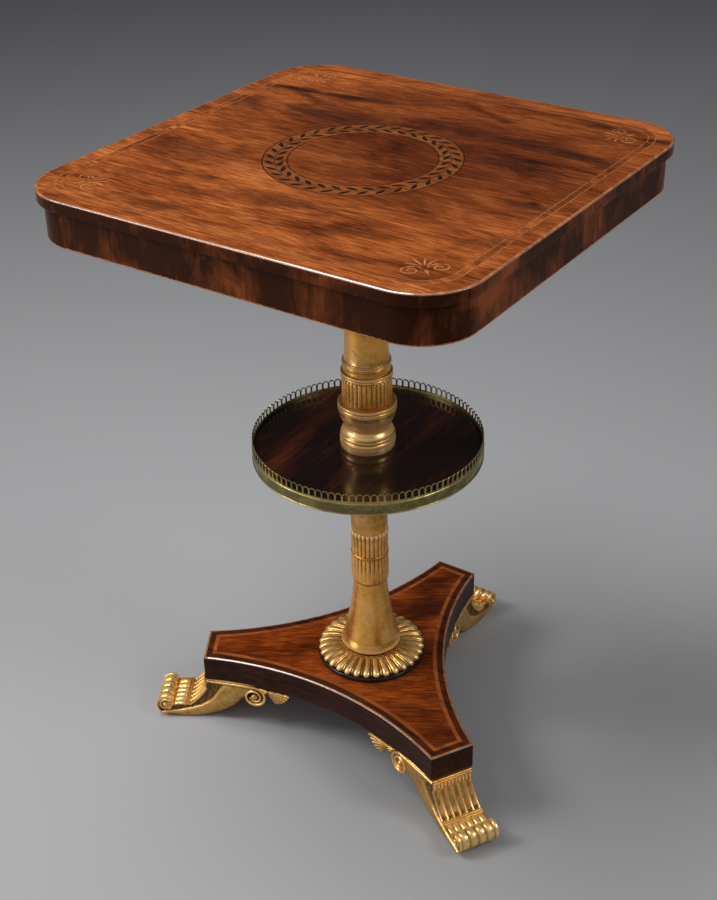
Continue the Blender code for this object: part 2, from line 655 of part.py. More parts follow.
def make_platform():
    """The three-armed core with its veneered top, hollow sides and square ends."""
    bore = plate(circle(LOWER_TENON_RADIUS + GAP, FLUTE_COUNT), platform_low - GAP, plinth_low)
    body = plate(platform_outline(VENEER + GAP), platform_low, core_top)
    core = add_object("platform_core", body, substrate)
    cut(core, bore)
    for arm in ARM_ANGLES.values():
        bores = dowel_bores()
        bores.transform(Matrix.Rotation(math.radians(arm), 4, "Z"))
        cut(core, bores)
    low = core_top + GAP
    string_inset = PLATFORM_CROSSBAND + GAP
    crossband = ring_plate(platform_outline(0.0), platform_outline(PLATFORM_CROSSBAND),
                           low, PLATFORM_HEIGHT)
    add_object("platform_crossband", crossband, rosewood)
    line = ring_plate(platform_outline(string_inset), platform_outline(string_inset + PLATFORM_STRING),
                      low, PLATFORM_HEIGHT)
    add_object("platform_stringing", line, boxwood)
    face = plate(platform_outline(field_inset), low, PLATFORM_HEIGHT)
    field = add_object("platform_field", face, rosewood)
    cut(field, bore)
    for index, (name, arm) in enumerate(ARM_ANGLES.items()):
        strip = concave_side(arm, 0.0) + list(reversed(concave_side(arm, VENEER)))
        add_object(f"platform_side_{index + 1}", plate(strip, platform_low, core_top), rosewood_dark)
        half_width = edge_half_width(PLATFORM_END_REACH) - 2 * GAP
        inner = PLATFORM_END_REACH - VENEER
        inner_half = half_width - VENEER
        cap = [(inner, -inner_half), (PLATFORM_END_REACH, -half_width), (PLATFORM_END_REACH, half_width),
               (inner, inner_half)]
        add_object(f"platform_end_{name}", plate(cap, platform_low, core_top), rosewood_dark, arm)


# Scroll feet
def foot_half_width(reach):
    """Half the width of a foot: even past the platform's end, and spreading under the platform."""
    end_width = edge_half_width(PLATFORM_END_REACH) - FOOT_SIDE_INSET
    volute_reach = PLATFORM_END_REACH - VOLUTE_SETBACK
    volute_width = edge_half_width(volute_reach) - FOOT_SIDE_INSET
    splay = (volute_width - end_width) / VOLUTE_SETBACK
    return end_width + splay * max(0.0, PLATFORM_END_REACH - reach)


def bezier(points, count):
    """Points along a Bezier curve, ends included."""
    degree = len(points) - 1
    curve = []
    for step in range(count + 1):
        t = step / count
        weights = [math.comb(degree, i) * t ** i * (1 - t) ** (degree - i) for i in range(degree + 1)]
        curve.append((sum(w * p[0] for w, p in zip(weights, points)),
                      sum(w * p[1] for w, p in zip(weights, points))))
    return curve


def on_circle(centre, radius, degrees):
    """The point of a circle at an angle."""
    a = math.radians(degrees)
    return centre[0] + radius * math.cos(a), centre[1] + radius * math.sin(a)


def volute_centre():
    """Centre of the rear volute as (reach, height)."""
    return PLATFORM_END_REACH - VOLUTE_SETBACK, foot_top - VOLUTE_DROP


def foot_front_rows():
    """Rows down the front of a foot: two fillets, a bead and a fluted cove."""
    front = PLATFORM_END_REACH + FOOT_FRONT_OVERHANG
    hollow = front - FOOT_FILLET_GROOVE
    z = foot_top
    rows = [(front, z, None, 0)]
    for fillet in range(2):
        z -= FOOT_FILLET_HEIGHT
        rows += [(front, z + 2 * GAP, None, 0), (hollow, z, None, 0)]
    rows += [(front, z - FOOT_BEAD_HEIGHT / 3, None, 0), (front, z - FOOT_BEAD_HEIGHT * 2 / 3, None, 0)]
    z -= FOOT_BEAD_HEIGHT
    instep = (PLATFORM_END_REACH + INSTEP_OFFSET, INSTEP_HEIGHT)
    pull = (hollow + COVE_FORWARD_PULL * (instep[0] - hollow), z + COVE_DOWN_PULL * (INSTEP_HEIGHT - z))
    for index, (reach, height) in enumerate(bezier([(hollow, z), pull, instep], COVE_STEPS)):
        depth = FOOT_FLUTE_DEPTH if 0 < index < COVE_STEPS else 0.0
        rows.append((reach, height, "flute", depth))
    return rows


def foot_toe_rows():
    """Rows over the instep and round the toe: two cross ridges, petals and a beaded roll."""
    ridge = CROSS_RIDGE_WIDTH
    reach = PLATFORM_END_REACH + INSTEP_OFFSET
    ridge_top = INSTEP_HEIGHT + CROSS_RIDGE_HEIGHT
    petal_start = reach + 2 * ridge
    rows = [(reach + 0.5 * ridge, ridge_top, None, 0), (reach + ridge, INSTEP_HEIGHT, None, 0),
            (reach + 1.5 * ridge, ridge_top, None, 0), (petal_start, INSTEP_HEIGHT, "petal", 0.0)]
    toe = (PLATFORM_END_REACH + TOE_OFFSET, TOE_HEIGHT)
    petal_end = toe[0] - TOE_RADIUS
    rows += [((petal_start + petal_end) / 2, INSTEP_HEIGHT + PETAL_SWELL, "petal", PETAL_DEPTH),
             (petal_end, TOE_HEIGHT, "petal", PETAL_DEPTH)]
    for step in range(TOE_STEPS + 1):
        share = step / TOE_STEPS
        radius = TOE_RADIUS * (1 + TOE_SPIRAL_GROWTH * share ** 3)
        place = on_circle(toe, radius, TOE_START_DEGREES - TOE_SWEEP_DEGREES * share)
        depth = TOE_BEAD_DEPTH if 0 < step < TOE_STEPS else 0.0
        rows.append((*place, "toe", depth))
    return rows


def foot_sole_rows():
    """Rows along the sole from the toe to the rear volute and up its back."""
    contact = PLATFORM_END_REACH + INSTEP_OFFSET
    start = (contact - SOLE_FLAT_LENGTH / 2, 0.0)
    pulls = [(PLATFORM_END_REACH - setback, height) for setback, height in SOLE_PULLS]
    join = on_circle(volute_centre(), VOLUTE_RADIUS, SOLE_JOIN_DEGREES)
    rows = [(contact + SOLE_FLAT_LENGTH, SOLE_TOE_RISE), (contact + SOLE_FLAT_LENGTH / 2, 0.0)]
    rows += bezier([start, *pulls, join], SOLE_STEPS)
    rows += [on_circle(volute_centre(), VOLUTE_RADIUS, degrees) for degrees in VOLUTE_BACK_DEGREES]
    return [(reach, height, None, 0) for reach, height in rows]


def foot_outline():
    """Side outline of a foot as (reach, height, carving, depth) rows, from the rear of its top
    over the front, the toe and the sole to the rear volute."""
    rear = volute_centre()[0] - VOLUTE_RADIUS / 2
    top = [(rear, foot_top, None, 0), (PLATFORM_END_REACH, foot_top, None, 0)]
    return top + foot_front_rows() + foot_toe_rows() + foot_sole_rows()


def carving_depth(kind, depth, across):
    """How far a row is carved back at a place across the foot, from 0 to 1."""
    if kind == "flute":
        return depth * math.sin(math.pi * FOOT_FLUTES * across) ** 2
    if kind == "petal":
        return depth * math.cos(math.pi * FOOT_FLUTES * across) ** 2
    return depth * abs(math.cos(math.pi * TOE_BEADS * across))


def foot_blank():
    """The foot's body: its outline carried across its width, fluted in front and beaded at the toe."""
    rows = foot_outline()
    bm = bmesh.new()
    loops = []
    for index, (reach, height, kind, depth) in enumerate(rows):
        before = rows[index - 1]
        after = rows[(index + 1) % len(rows)]
        along = Vector((after[0] - before[0], after[1] - before[1])).normalized()
        inward = Vector((along.y, -along.x))
        count = 2 * FOOT_FLUTES + 1 if kind else 2
        loop = []
        for i in range(count):
            across = i / (count - 1)
            back = carving_depth(kind, depth, across) if kind else 0.0
            width = (2 * across - 1) * foot_half_width(reach)
            loop.append(bm.verts.new((reach + back * inward.x, width, height + back * inward.y)))
        loops.append(loop)
    for first, second in zip(loops, loops[1:] + loops[:1]):
        if len(first) == len(second):
            for i in range(len(first) - 1):
                bm.faces.new((first[i], first[i + 1], second[i + 1], second[i]))
        else:
            bm.faces.new(first + second[::-1])
    reaches = [row[0] for row in rows]
    tip = reaches.index(max(reaches))
    heel = next(i for i in range(tip, len(rows)) if reaches[i] < PLATFORM_END_REACH)
    for side in (0, -1):
        edge = [loop[side] for loop in loops]
        bm.faces.new(edge[1:heel + 1])
        bm.faces.new(edge[heel:] + edge[:2])
    return mesh_from(bm)


def swept_band(bm, path, widths, side):
    """A flat band on the foot's side along a path of (reach, height) points."""
    loops = []
    for index, (reach, height) in enumerate(path):
        before = path[max(index - 1, 0)]
        after = path[min(index + 1, len(path) - 1)]
        along = Vector((after[0] - before[0], after[1] - before[1])).normalized()
        half = widths[index] / 2
        loop = []
        for offset, lift in ((half, -1.0), (0.5 * half, 1.0), (-0.5 * half, 1.0), (-half, -1.0)):
            r = reach - along.y * offset
            out = side * (foot_half_width(r) + SCROLL_BAND_RELIEF * lift)
            loop.append(bm.verts.new((r, out, height + along.x * offset)))
        loops.append(loop)
    bm.faces.new(loops[0])
    bm.faces.new(loops[-1])
    skin_loops(bm, loops)


def scroll_path():
    """The moulding under the platform, which curls into the rear volute."""
    centre = volute_centre()
    start_radius = VOLUTE_DROP - SCROLL_BAND_DROP
    level = centre[1] + start_radius
    path = [(PLATFORM_END_REACH - FOOT_SIDE_INSET, level), (centre[0] + VOLUTE_SETBACK / 2, level)]
    for step in range(SCROLL_STEPS + 1):
        share = step / SCROLL_STEPS
        radius = start_radius + (VOLUTE_EYE_RADIUS - start_radius) * share
        path.append(on_circle(centre, radius, 90 + 360 * VOLUTE_TURNS * share))
    widths = [SCROLL_BAND_WIDTH * (1 - SCROLL_BAND_TAPER * i / len(path)) for i in range(len(path))]
    return path, widths


def leaf(bm, side):
    """A spray of lobes that runs from the volute along the platform's lower edge."""
    root = (volute_centre()[0] - LEAF_ROOT_SETBACK, foot_top - LEAF_ROOT_DROP)
    outline = [(root[0], root[1] + LEAF_STEM_HALF, 0.0)]
    count = 2 * LEAF_LOBES
    for i in range(count + 1):
        share = i / count
        length = LEAF_LENGTH * (1 - LEAF_SHORTENING * share) * (1.0 if i % 2 else LEAF_NOTCH)
        reach, height = on_circle(root, length, LEAF_START_DEGREES + LEAF_SPREAD_DEGREES * share)
        outline.append((reach, min(height, foot_top - GAP), LEAF_RIDGE * (i % 2)))
    outline.append((root[0], root[1] - LEAF_STEM_HALF, 0.0))

    def lateral(reach, lift):
        return side * (edge_half_width(reach) - FOOT_SIDE_INSET + lift)

    front = [bm.verts.new((r, lateral(r, lift), z)) for r, z, lift in outline]
    back = [bm.verts.new((r, lateral(r, -LEAF_THICKNESS), z)) for r, z, _ in outline]
    front_root = bm.verts.new((root[0], lateral(root[0], 0.0), root[1]))
    back_root = bm.verts.new((root[0], lateral(root[0], -LEAF_THICKNESS), root[1]))
    for i in range(len(outline) - 1):
        bm.faces.new((front_root, front[i], front[i + 1]))
        bm.faces.new((back_root, back[i + 1], back[i]))
        bm.faces.new((front[i], back[i], back[i + 1], front[i + 1]))
    bm.faces.new((front[-1], back[-1], back_root, front_root))
    bm.faces.new((front_root, back_root, back[0], front[0]))


def foot_mesh():
    """The carved foot: blank, scroll bands and leaves in one body, bored for its dowels."""
    blank = add_object("foot_blank", foot_blank(), gilt)
    path, widths = scroll_path()
    for side in (-1, 1):
        scroll = bmesh.new()
        swept_band(scroll, path, widths, side)
        cut(blank, mesh_from(scroll), "UNION")
        spray = bmesh.new()
        leaf(spray, side)
        cut(blank, mesh_from(spray), "UNION")
    cut(blank, dowel_bores())
    bpy.context.view_layer.update()
    carved = bpy.data.meshes.new_from_object(blank.evaluated_get(bpy.context.evaluated_depsgraph_get()))
    for guide in [item for item in bpy.data.objects if item.name.startswith("foot_blank")]:
        bpy.data.objects.remove(guide, do_unlink=True)
    carved.shade_smooth()
    carved.set_sharp_from_angle(angle=math.radians(35))
    return carved


def make_feet():
    """Three carved feet under the platform's arms, with two dowels each; returns the feet's reach."""
    carved = foot_mesh()
    number = 0
    for name, arm in ARM_ANGLES.items():
        add_object(f"foot_{name}", carved, gilt, arm)
        for setback in DOWEL_SETBACKS:
            number += 1
            place = (PLATFORM_END_REACH - setback, 0.0)
            peg = cylinders([place], DOWEL_RADIUS, foot_top - DOWEL_DEPTH, platform_low + DOWEL_DEPTH)
            add_object(f"foot_dowel_{number}", peg, substrate, arm)
    return max(vertex.co.x for vertex in carved.vertices)


clear_scene()
rosewood = material("rosewood", (0.30, 0.09, 0.03), 0.25)
rosewood_dark = material("rosewood_dark", (0.045, 0.016, 0.010), 0.22)
boxwood = material("boxwood", (0.55, 0.27, 0.09), 0.3)
substrate = material("mahogany_ground", (0.28, 0.14, 0.07), 0.6)
gilt = material("gilt", (0.56, 0.33, 0.09), 0.35, 0.8)
brass = material("aged_brass", (0.36, 0.29, 0.10), 0.35, 1.0)
ebony = material("ebonised", (0.012, 0.011, 0.011), 0.25)
iron = material("iron", (0.25, 0.24, 0.23), 0.5, 1.0)

table = bpy.data.objects.new("table", None)
bpy.context.scene.collection.objects.link(table)
make_top()
make_frieze()
make_glue_blocks()
make_bearer()
make_upper_column()
make_lower_column()
make_wedge()
make_collar_and_plinth()
make_shelf()
make_gallery_band()
make_gallery_fret()
make_platform()
foot_reach = make_feet()

# The back foot reaches past the top, so the table moves to stand centred over the origin
table.location.y = (TOP_SIDE / 2 - foot_reach) / 2
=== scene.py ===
"""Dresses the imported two-tier table: veneered top, gilt column, galleried shelf, platform and carved feet."""

import math

import bmesh
import bpy
import numpy as np
from bpy.props import FloatProperty, FloatVectorProperty, IntProperty, PointerProperty
from mathutils import Matrix, Vector


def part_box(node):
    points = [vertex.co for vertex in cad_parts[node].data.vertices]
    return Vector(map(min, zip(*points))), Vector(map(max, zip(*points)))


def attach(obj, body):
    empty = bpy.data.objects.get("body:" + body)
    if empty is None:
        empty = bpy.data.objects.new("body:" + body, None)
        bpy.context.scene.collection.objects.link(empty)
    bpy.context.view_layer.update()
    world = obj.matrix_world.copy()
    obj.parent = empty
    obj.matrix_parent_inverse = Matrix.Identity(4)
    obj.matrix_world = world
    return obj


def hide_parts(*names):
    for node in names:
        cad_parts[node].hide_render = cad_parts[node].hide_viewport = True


bl_info = {
    "name": "Two-tier occasional table",
    "version": (1, 0, 0),
    "blender": (4, 5, 0),
    "location": "View3D > Sidebar > Table",
    "description": "Builds the finished surfaces of a rosewood, gilt and brass table round its solids",
    "category": "Add Mesh",
}

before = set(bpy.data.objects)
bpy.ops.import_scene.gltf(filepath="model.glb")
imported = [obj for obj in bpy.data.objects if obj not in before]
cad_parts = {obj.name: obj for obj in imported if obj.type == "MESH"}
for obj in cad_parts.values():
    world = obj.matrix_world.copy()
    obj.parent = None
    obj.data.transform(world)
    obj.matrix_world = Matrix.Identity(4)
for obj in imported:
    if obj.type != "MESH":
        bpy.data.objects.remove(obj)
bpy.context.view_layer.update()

MM = 0.001
WELD = 2e-6
ARMS = {"back": 90.0, "left": 210.0, "front": 330.0}


def level(node, end):
    """Height of a node's lowest (0) or highest (1) point."""
    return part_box(node)[end][2]


def levels(node, scale=1.0):
    """Heights of a node's lowest and highest points, in metres or in units of another length."""
    return level(node, 0) / scale, level(node, 1) / scale


AXIS = np.array([0.0, 0.5 * (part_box("gallery_band")[0][1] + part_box("gallery_band")[1][1]), 0.0])
TOP_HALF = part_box("top_crossband")[1][0]
FRIEZE_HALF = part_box("frieze_veneer")[1][0]
GALLERY_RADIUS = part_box("gallery_band")[1][0]
SHELF_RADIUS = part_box("shelf_board")[1][0]
PLINTH_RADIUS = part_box("ebonised_plinth")[1][0]
PLATFORM_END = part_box("platform_end_back")[1][1] - AXIS[1]
FOOT_TOP = level("foot_back", 1)
SHELF_BORE = 31.3 * MM
SPIGOT_BORE = 12.4 * MM
TENON_BORE = 17.4 * MM
EDGE_LIP = 1.0 * MM
HAIR = 0.02 * MM


def length(name, description, millimetres):
    """A length property, with its usual value in millimetres."""
    return FloatProperty(name=name, description=description, default=millimetres * MM, unit="LENGTH")


def whole_number(name, description, default):
    """A property that counts things."""
    return IntProperty(name=name, description=description, default=default)


class TableSizes(bpy.types.PropertyGroup):
    """Sizes of the finished surfaces that the solids leave plain."""

    top_corner: length("Top corner", "Radius of the top's corners", 63.5)
    arris: length("Top arris", "Width of the top's eased edge", 1.25)
    arris_drop: length("Top arris drop", "Height of the top's eased edge", 0.78)
    platform_arris: length("Platform arris", "Width of the platform's eased edge", 1.5)
    platform_arris_drop: length("Platform arris drop", "Height of the platform's eased edge", 0.68)
    crossband: length("Crossband", "Width of the top's outer band", 19)
    string: length("String", "Width of the light lines in the top", 1.0)
    border: length("Border", "Width between the two light lines", 6.5)
    wreath_outer: length("Wreath outside", "Outer radius of the wreath", 104.5)
    wreath_inner: length("Wreath inside", "Inner radius of the wreath", 77.5)
    wreath_pairs: whole_number("Leaf pairs", "Pairs of leaves round the wreath", 34)
    reeds: whole_number("Reeds", "Reeds round the drum of the column", 32)
    flutes: whole_number("Flutes", "Flutes round the lower column", 26)
    gadroons: whole_number("Gadroons", "Lobes round the collar", 32)
    arches: whole_number("Arches", "Arches round the gallery", 108)
    arch_bar: length("Arch bar", "Width of the metal between two arches", 2.1)
    edge_radius: length("Platform edge", "Radius of the platform's hollow sides", 400)
    waist: length("Platform waist", "Least reach of the platform's hollow sides", 91.4)
    platform_band: length("Platform band", "Width of the platform's dark border", 9.6)
    platform_string: length("Platform string", "Width of the platform's light line", 4.8)
    foot_flutes: whole_number("Foot flutes", "Flutes down the front of a foot", 6)
    foot_flute_depth: length("Foot flute depth", "Depth of a foot's flutes", 2.4)
    channel: length("Side channel", "Depth of the hollow along a foot's side", 3.4)
    toe_beads: whole_number("Toe beads", "Swellings along the toe roll", 4)
    camera_lens: FloatProperty(name="Lens", description="Focal length of the camera in millimetres", default=59.2)


def colour(name, description, default):
    """A colour property with red, green and blue as linear light."""
    return FloatVectorProperty(name=name, description=description, default=default,
                               subtype="COLOR", size=3, min=0.0, max=1.0)


class TableColours(bpy.types.PropertyGroup):
    """Colours of the finishes."""

    rosewood_bright: colour("Rosewood, bright", "Brightest streaks of the veneer", (0.62, 0.205, 0.048))
    rosewood_light: colour("Rosewood, light", "Light streaks of the veneer", (0.44, 0.125, 0.026))
    rosewood_mid: colour("Rosewood, middle", "Main tone of the veneer", (0.31, 0.077, 0.015))
    rosewood_deep: colour("Rosewood, deep", "Dark streaks of the veneer", (0.060, 0.016, 0.007))
    # The knots' colour is also that of the platform's painted shadow patches.
    knots: colour("Knots", "Dark streaks and knots in the top", (0.018, 0.008, 0.006))
    heartwood: colour("Heartwood", "Tint of the dark heart of the top's veneer", (0.30, 0.235, 0.25))
    clouding: colour("Clouding", "Tint of the dark clouds in the veneer", (0.30, 0.23, 0.25))
    frieze_light: colour("Frieze, light", "Light figure of the frieze and the top's edge", (0.262, 0.065, 0.0155))
    frieze_dark: colour("Frieze, dark", "Ground of the frieze and the top's edge", (0.040, 0.0098, 0.0029))
    worn_edge: colour("Worn edge", "Paler wood on worn edges", (0.50, 0.20, 0.082))
    shelf_red: colour("Shelf figure", "Red figure in the dark veneer", (0.14, 0.033, 0.013))
    shelf_black: colour("Shelf ground", "Ground of the dark veneer", (0.013, 0.0055, 0.0042))
    platform_dark: colour("Platform sides", "Dark veneer on the platform's sides", (0.050, 0.016, 0.008))
    platform_border: colour("Platform border", "Border of the platform's face", (0.095, 0.023, 0.008))
    platform_line: colour("Platform line", "Light line of the platform's face", (0.40, 0.105, 0.024))
    boxwood: colour("Boxwood", "Light lines of the inlay", (0.64, 0.25, 0.080))
    wreath_ground: colour("Wreath ground", "Ground under the wreath leaves", (0.240, 0.070, 0.0185))
    wreath_leaf: colour("Wreath leaf", "Dark leaves of the wreath", (0.026, 0.009, 0.004))
    mahogany: colour("Mahogany", "Carcass wood", (0.17, 0.066, 0.028))
    gold: colour("Gold", "Gilt surface", (0.97, 0.465, 0.095))
    # Pale gilt for rubbed high places, also used for the painted highlights laid there.
    gold_rubbed_and_highlit: colour("Gold, rubbed", "Rubbed gilt on high places", (1.0, 0.77, 0.42))
    carved_gold: colour("Carved gold", "Gilt surface of the collar and feet", (1.0, 0.55, 0.145))
    carved_rubbed_and_highlit: colour("Carved gold, rubbed", "Rubbed gilt of the collar and feet", (1.0, 0.78, 0.38))
    bole: colour("Bole", "Red clay where the gilding has worn", (0.42, 0.17, 0.085))
    # Grime also stands for painted shade in the carving's hollows.
    grime_and_shade: colour("Grime", "Dirt in the hollows of the carving", (0.060, 0.028, 0.009))
    brass: colour("Brass", "Old brass of the gallery", (0.58, 0.455, 0.152))
    # Also the colour of the painted shade in the brass's marked hollows.
    brass_tarnish_and_shade: colour("Brass, dull", "Tarnish on the brass", (0.17, 0.14, 0.052))
    ebony: colour("Ebonised", "Black stained wood", (0.012, 0.010, 0.009))
    iron: colour("Iron", "Screw heads", (0.12, 0.115, 0.11))
    floor: colour("Floor", "Studio floor", (0.350, 0.351, 0.356))
    # Painted: the floor darkens away from the table as a painted falloff of the light.
    floor_far_shade: colour("Floor, far", "Studio floor far from the table", (0.115, 0.115, 0.122))


class Shell:
    """Grids of points that together make one piece, with a mark for painted shade, dirt, wear and painted highlights,
    and a finish for each face.
    """

    def __init__(self):
        self.points, self.quads, self.hollows, self.finishes = [], [], [], []
        self.count = 0

    def grid(self, points, around=False, ring=False, hollow=0.0, finish=0):
        """Joins a grid of points, or a stack of like grids, into quads; around closes each row on itself and
        ring closes the columns."""
        points = points.reshape(-1, *points.shape[-3:])
        copies, rows, columns = points.shape[:3]
        i = np.arange(rows if ring else rows - 1)[:, None]
        j = np.arange(columns if around else columns - 1)[None, :]
        below, beside = (i + 1) % rows, (j + 1) % columns
        one = np.stack(np.broadcast_arrays(i * columns + j, i * columns + beside,
                                           below * columns + beside, below * columns + j), axis=-1)
        starts = self.count + np.arange(copies)[:, None, None] * rows * columns
        quads = (one.reshape(1, -1, 4) + starts).reshape(-1, 4)
        self.points.append(points.reshape(-1, 3))
        self.quads.append(quads)
        self.hollows.append(np.broadcast_to(hollow, points.shape[:3]).ravel())
        self.finishes.append(np.full(len(quads), finish))
        self.count += copies * rows * columns
        return self

    def mesh(self, name):
        """The gathered grids as one mesh about the column's axis, welded, with its faces turned outwards."""
        points = np.concatenate(self.points) + AXIS
        quads = np.concatenate(self.quads)
        mesh = bpy.data.meshes.new(name)
        mesh.vertices.add(len(points))
        mesh.vertices.foreach_set("co", points.astype(np.float32).ravel())
        mesh.loops.add(quads.size)
        mesh.loops.foreach_set("vertex_index", quads.astype(np.int32).ravel())
        mesh.polygons.add(len(quads))
        mesh.polygons.foreach_set("loop_start", np.arange(0, quads.size, 4, dtype=np.int32))
        mesh.polygons.foreach_set("material_index", np.concatenate(self.finishes).astype(np.int32))
        mesh.attributes.new("hollow", "FLOAT", "POINT").data.foreach_set(
            "value", np.concatenate(self.hollows).astype(np.float32))
        mesh.update(calc_edges=True)
        bm = bmesh.new()
        bm.from_mesh(mesh)
        bmesh.ops.remove_doubles(bm, verts=bm.verts, dist=WELD)
        bmesh.ops.recalc_face_normals(bm, faces=bm.faces)
        bm.to_mesh(mesh)
        bm.free()
        return mesh


def add_piece(shell, name, slot, finishes, nodes=(), sharp=35):
    """Puts a shell into the scene as one piece of the table that stands for some of its solids."""
    mesh = shell.mesh(name)
    mesh.shade_smooth()
    mesh.set_sharp_from_angle(angle=math.radians(sharp))
    for finish in finishes:
        mesh.materials.append(finish)
    piece = bpy.data.objects.new(name, mesh)
    bpy.context.scene.collection.objects.link(piece)
    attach(piece, "root")
    if nodes:
        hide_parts(*nodes)


def smooth(low, high, value):
    """Rises from 0 at low to 1 at high along a smooth step, 3t^2 - 2t^3."""
    t = np.clip((value - low) / (high - low), 0.0, 1.0)
    return t * t * (3 - 2 * t)


def dome(value):
    """Height of a half circle over -1 to 1, and 0 outside."""
    return np.sqrt(np.clip(1 - value ** 2, 0.0, 1.0))


def near(value, place, width):
    """A bell curve that is 1 where a value meets a place: exp(-((value - place) / width)^2)."""
    return np.exp(-((value - place) / width) ** 2)


def evenly(count):
    """Angles that share out a full turn."""
    return np.arange(count) * 2 * math.pi / count


def unit(angles):
    """Points of the unit circle at some angles."""
    return np.stack([np.cos(angles), np.sin(angles)], axis=-1)


def directions(paths):
    """Unit vectors along lines of flat points, and the same turned a quarter to the left."""
    along = np.gradient(paths, axis=-2)
    along /= np.maximum(np.linalg.norm(along, axis=-1, keepdims=True), 1e-12)
    return along, np.stack([-along[..., 1], along[..., 0]], axis=-1)


def capped(rows):
    """Rows of points with a first and a last row added, each drawn together in its neighbour's middle."""
    middles = np.broadcast_to(rows.mean(axis=-2, keepdims=True), rows.shape)
    return np.concatenate([middles[..., :1, :, :], rows, middles[..., -1:, :, :]], axis=-3)


def bezier(points, count):
    """Points along the Bezier curve of some guide points: each guide weighted by its Bernstein share."""
    points = np.array(points, float)
    degree = len(points) - 1
    t = np.linspace(0, 1, count)[:, None]
    shares = [math.comb(degree, i) * t ** i * (1 - t) ** (degree - i) for i in range(degree + 1)]
    return sum(share * point for share, point in zip(shares, points))


def eased(points, ease, steps=4):
    """A line of points with each inner corner rounded by a parabola that starts ease before it."""
    points = np.array(points, float)
    before, here, after = points[:-2], points[1:-1], points[2:]
    back, ahead = before - here, after - here
    back_length = np.linalg.norm(back, axis=1)[:, None]
    ahead_length = np.linalg.norm(ahead, axis=1)[:, None]
    start = here + back / back_length * np.minimum(ease, 0.45 * back_length)
    end = here + ahead / ahead_length * np.minimum(ease, 0.45 * ahead_length)
    t = np.linspace(0, 1, steps + 1)[None, :, None]
    curves = (1 - t) ** 2 * start[:, None] + 2 * t * (1 - t) * here[:, None] + t ** 2 * end[:, None]
    return np.concatenate([points[:1], curves.reshape(-1, 2), points[-1:]])


def resampled(points, shares):
    """Places along a line of points at shares of its length."""
    steps = np.linalg.norm(np.diff(points, axis=0), axis=1)
    walked = np.concatenate([[0.0], np.cumsum(steps)]) / steps.sum()
    return np.stack([np.interp(shares, walked, points[:, i]) for i in range(points.shape[1])], axis=1)


def turned(profile, columns, relief=0.0):
    """A profile of (radius, height) turned about the axis: x = r cos a, y = r sin a, z = h, with the
    relief added to r as an array of profile rows by columns."""
    a = evenly(columns)
    r = profile[:, :1] + relief
    x, y = r * np.cos(a), r * np.sin(a)
    return np.stack([x, y, np.broadcast_to(profile[:, 1:], x.shape)], axis=-1)


def square_reach(angles, half, corner):
    """Distance from the middle to a rounded square at each angle: to the side where the ray meets it
    between the corners, and otherwise to the corner's circle."""
    a, b = np.abs(np.cos(angles)), np.abs(np.sin(angles))
    side = half / np.maximum(a, b)
    along = (half - corner) * (a + b)
    round_part = along + np.sqrt(np.maximum(along ** 2 - 2 * (half - corner) ** 2 + corner ** 2, 0.0))
    return np.where(side * np.minimum(a, b) <= half - corner, side, round_part)


OUTLINE_STEPS = 720
OUTLINE_ANGLES = (np.arange(OUTLINE_STEPS) + 0.5) * 2 * math.pi / OUTLINE_STEPS


def square_line(half, corner, height):
    """A rounded square at a height, sampled evenly in angle."""
    r = square_reach(OUTLINE_ANGLES, half, corner)
    return np.stack([r * np.cos(OUTLINE_ANGLES), r * np.sin(OUTLINE_ANGLES), np.full_like(r, height)], axis=-1)


def circle_line(radius, height):
    """A circle at a height, on the same angles as the rounded squares."""
    return square_line(radius, radius * 0.999999, height)


def centre_line(height):
    """The axis at a height, once for each angle of the outlines."""
    return np.broadcast_to([0.0, 0.0, height], (OUTLINE_STEPS, 3))


def oblong(inner, outer, low, high):
    """Corners of an oblong, one after another; turned about the axis it makes a flat ring."""
    return np.array([(inner, low), (outer, low), (outer, high), (inner, high)])


def upright(radius, low, high, rows):
    """A straight upright profile as (radius, height) pairs."""
    return np.stack([np.full(rows, radius), np.linspace(low, high, rows)], axis=1)


def plate_between(shell, outer, inner, low, high):
    """Adds a flat plate between two lines given as functions of height."""
    return shell.grid(np.stack([outer(low), outer(high), inner(high), inner(low)]), around=True, ring=True)


def round_plate(shell, outer, inner, low, high):
    """Adds a flat ring between two radii."""
    return plate_between(shell, lambda z: circle_line(outer, z), lambda z: circle_line(inner, z), low, high)


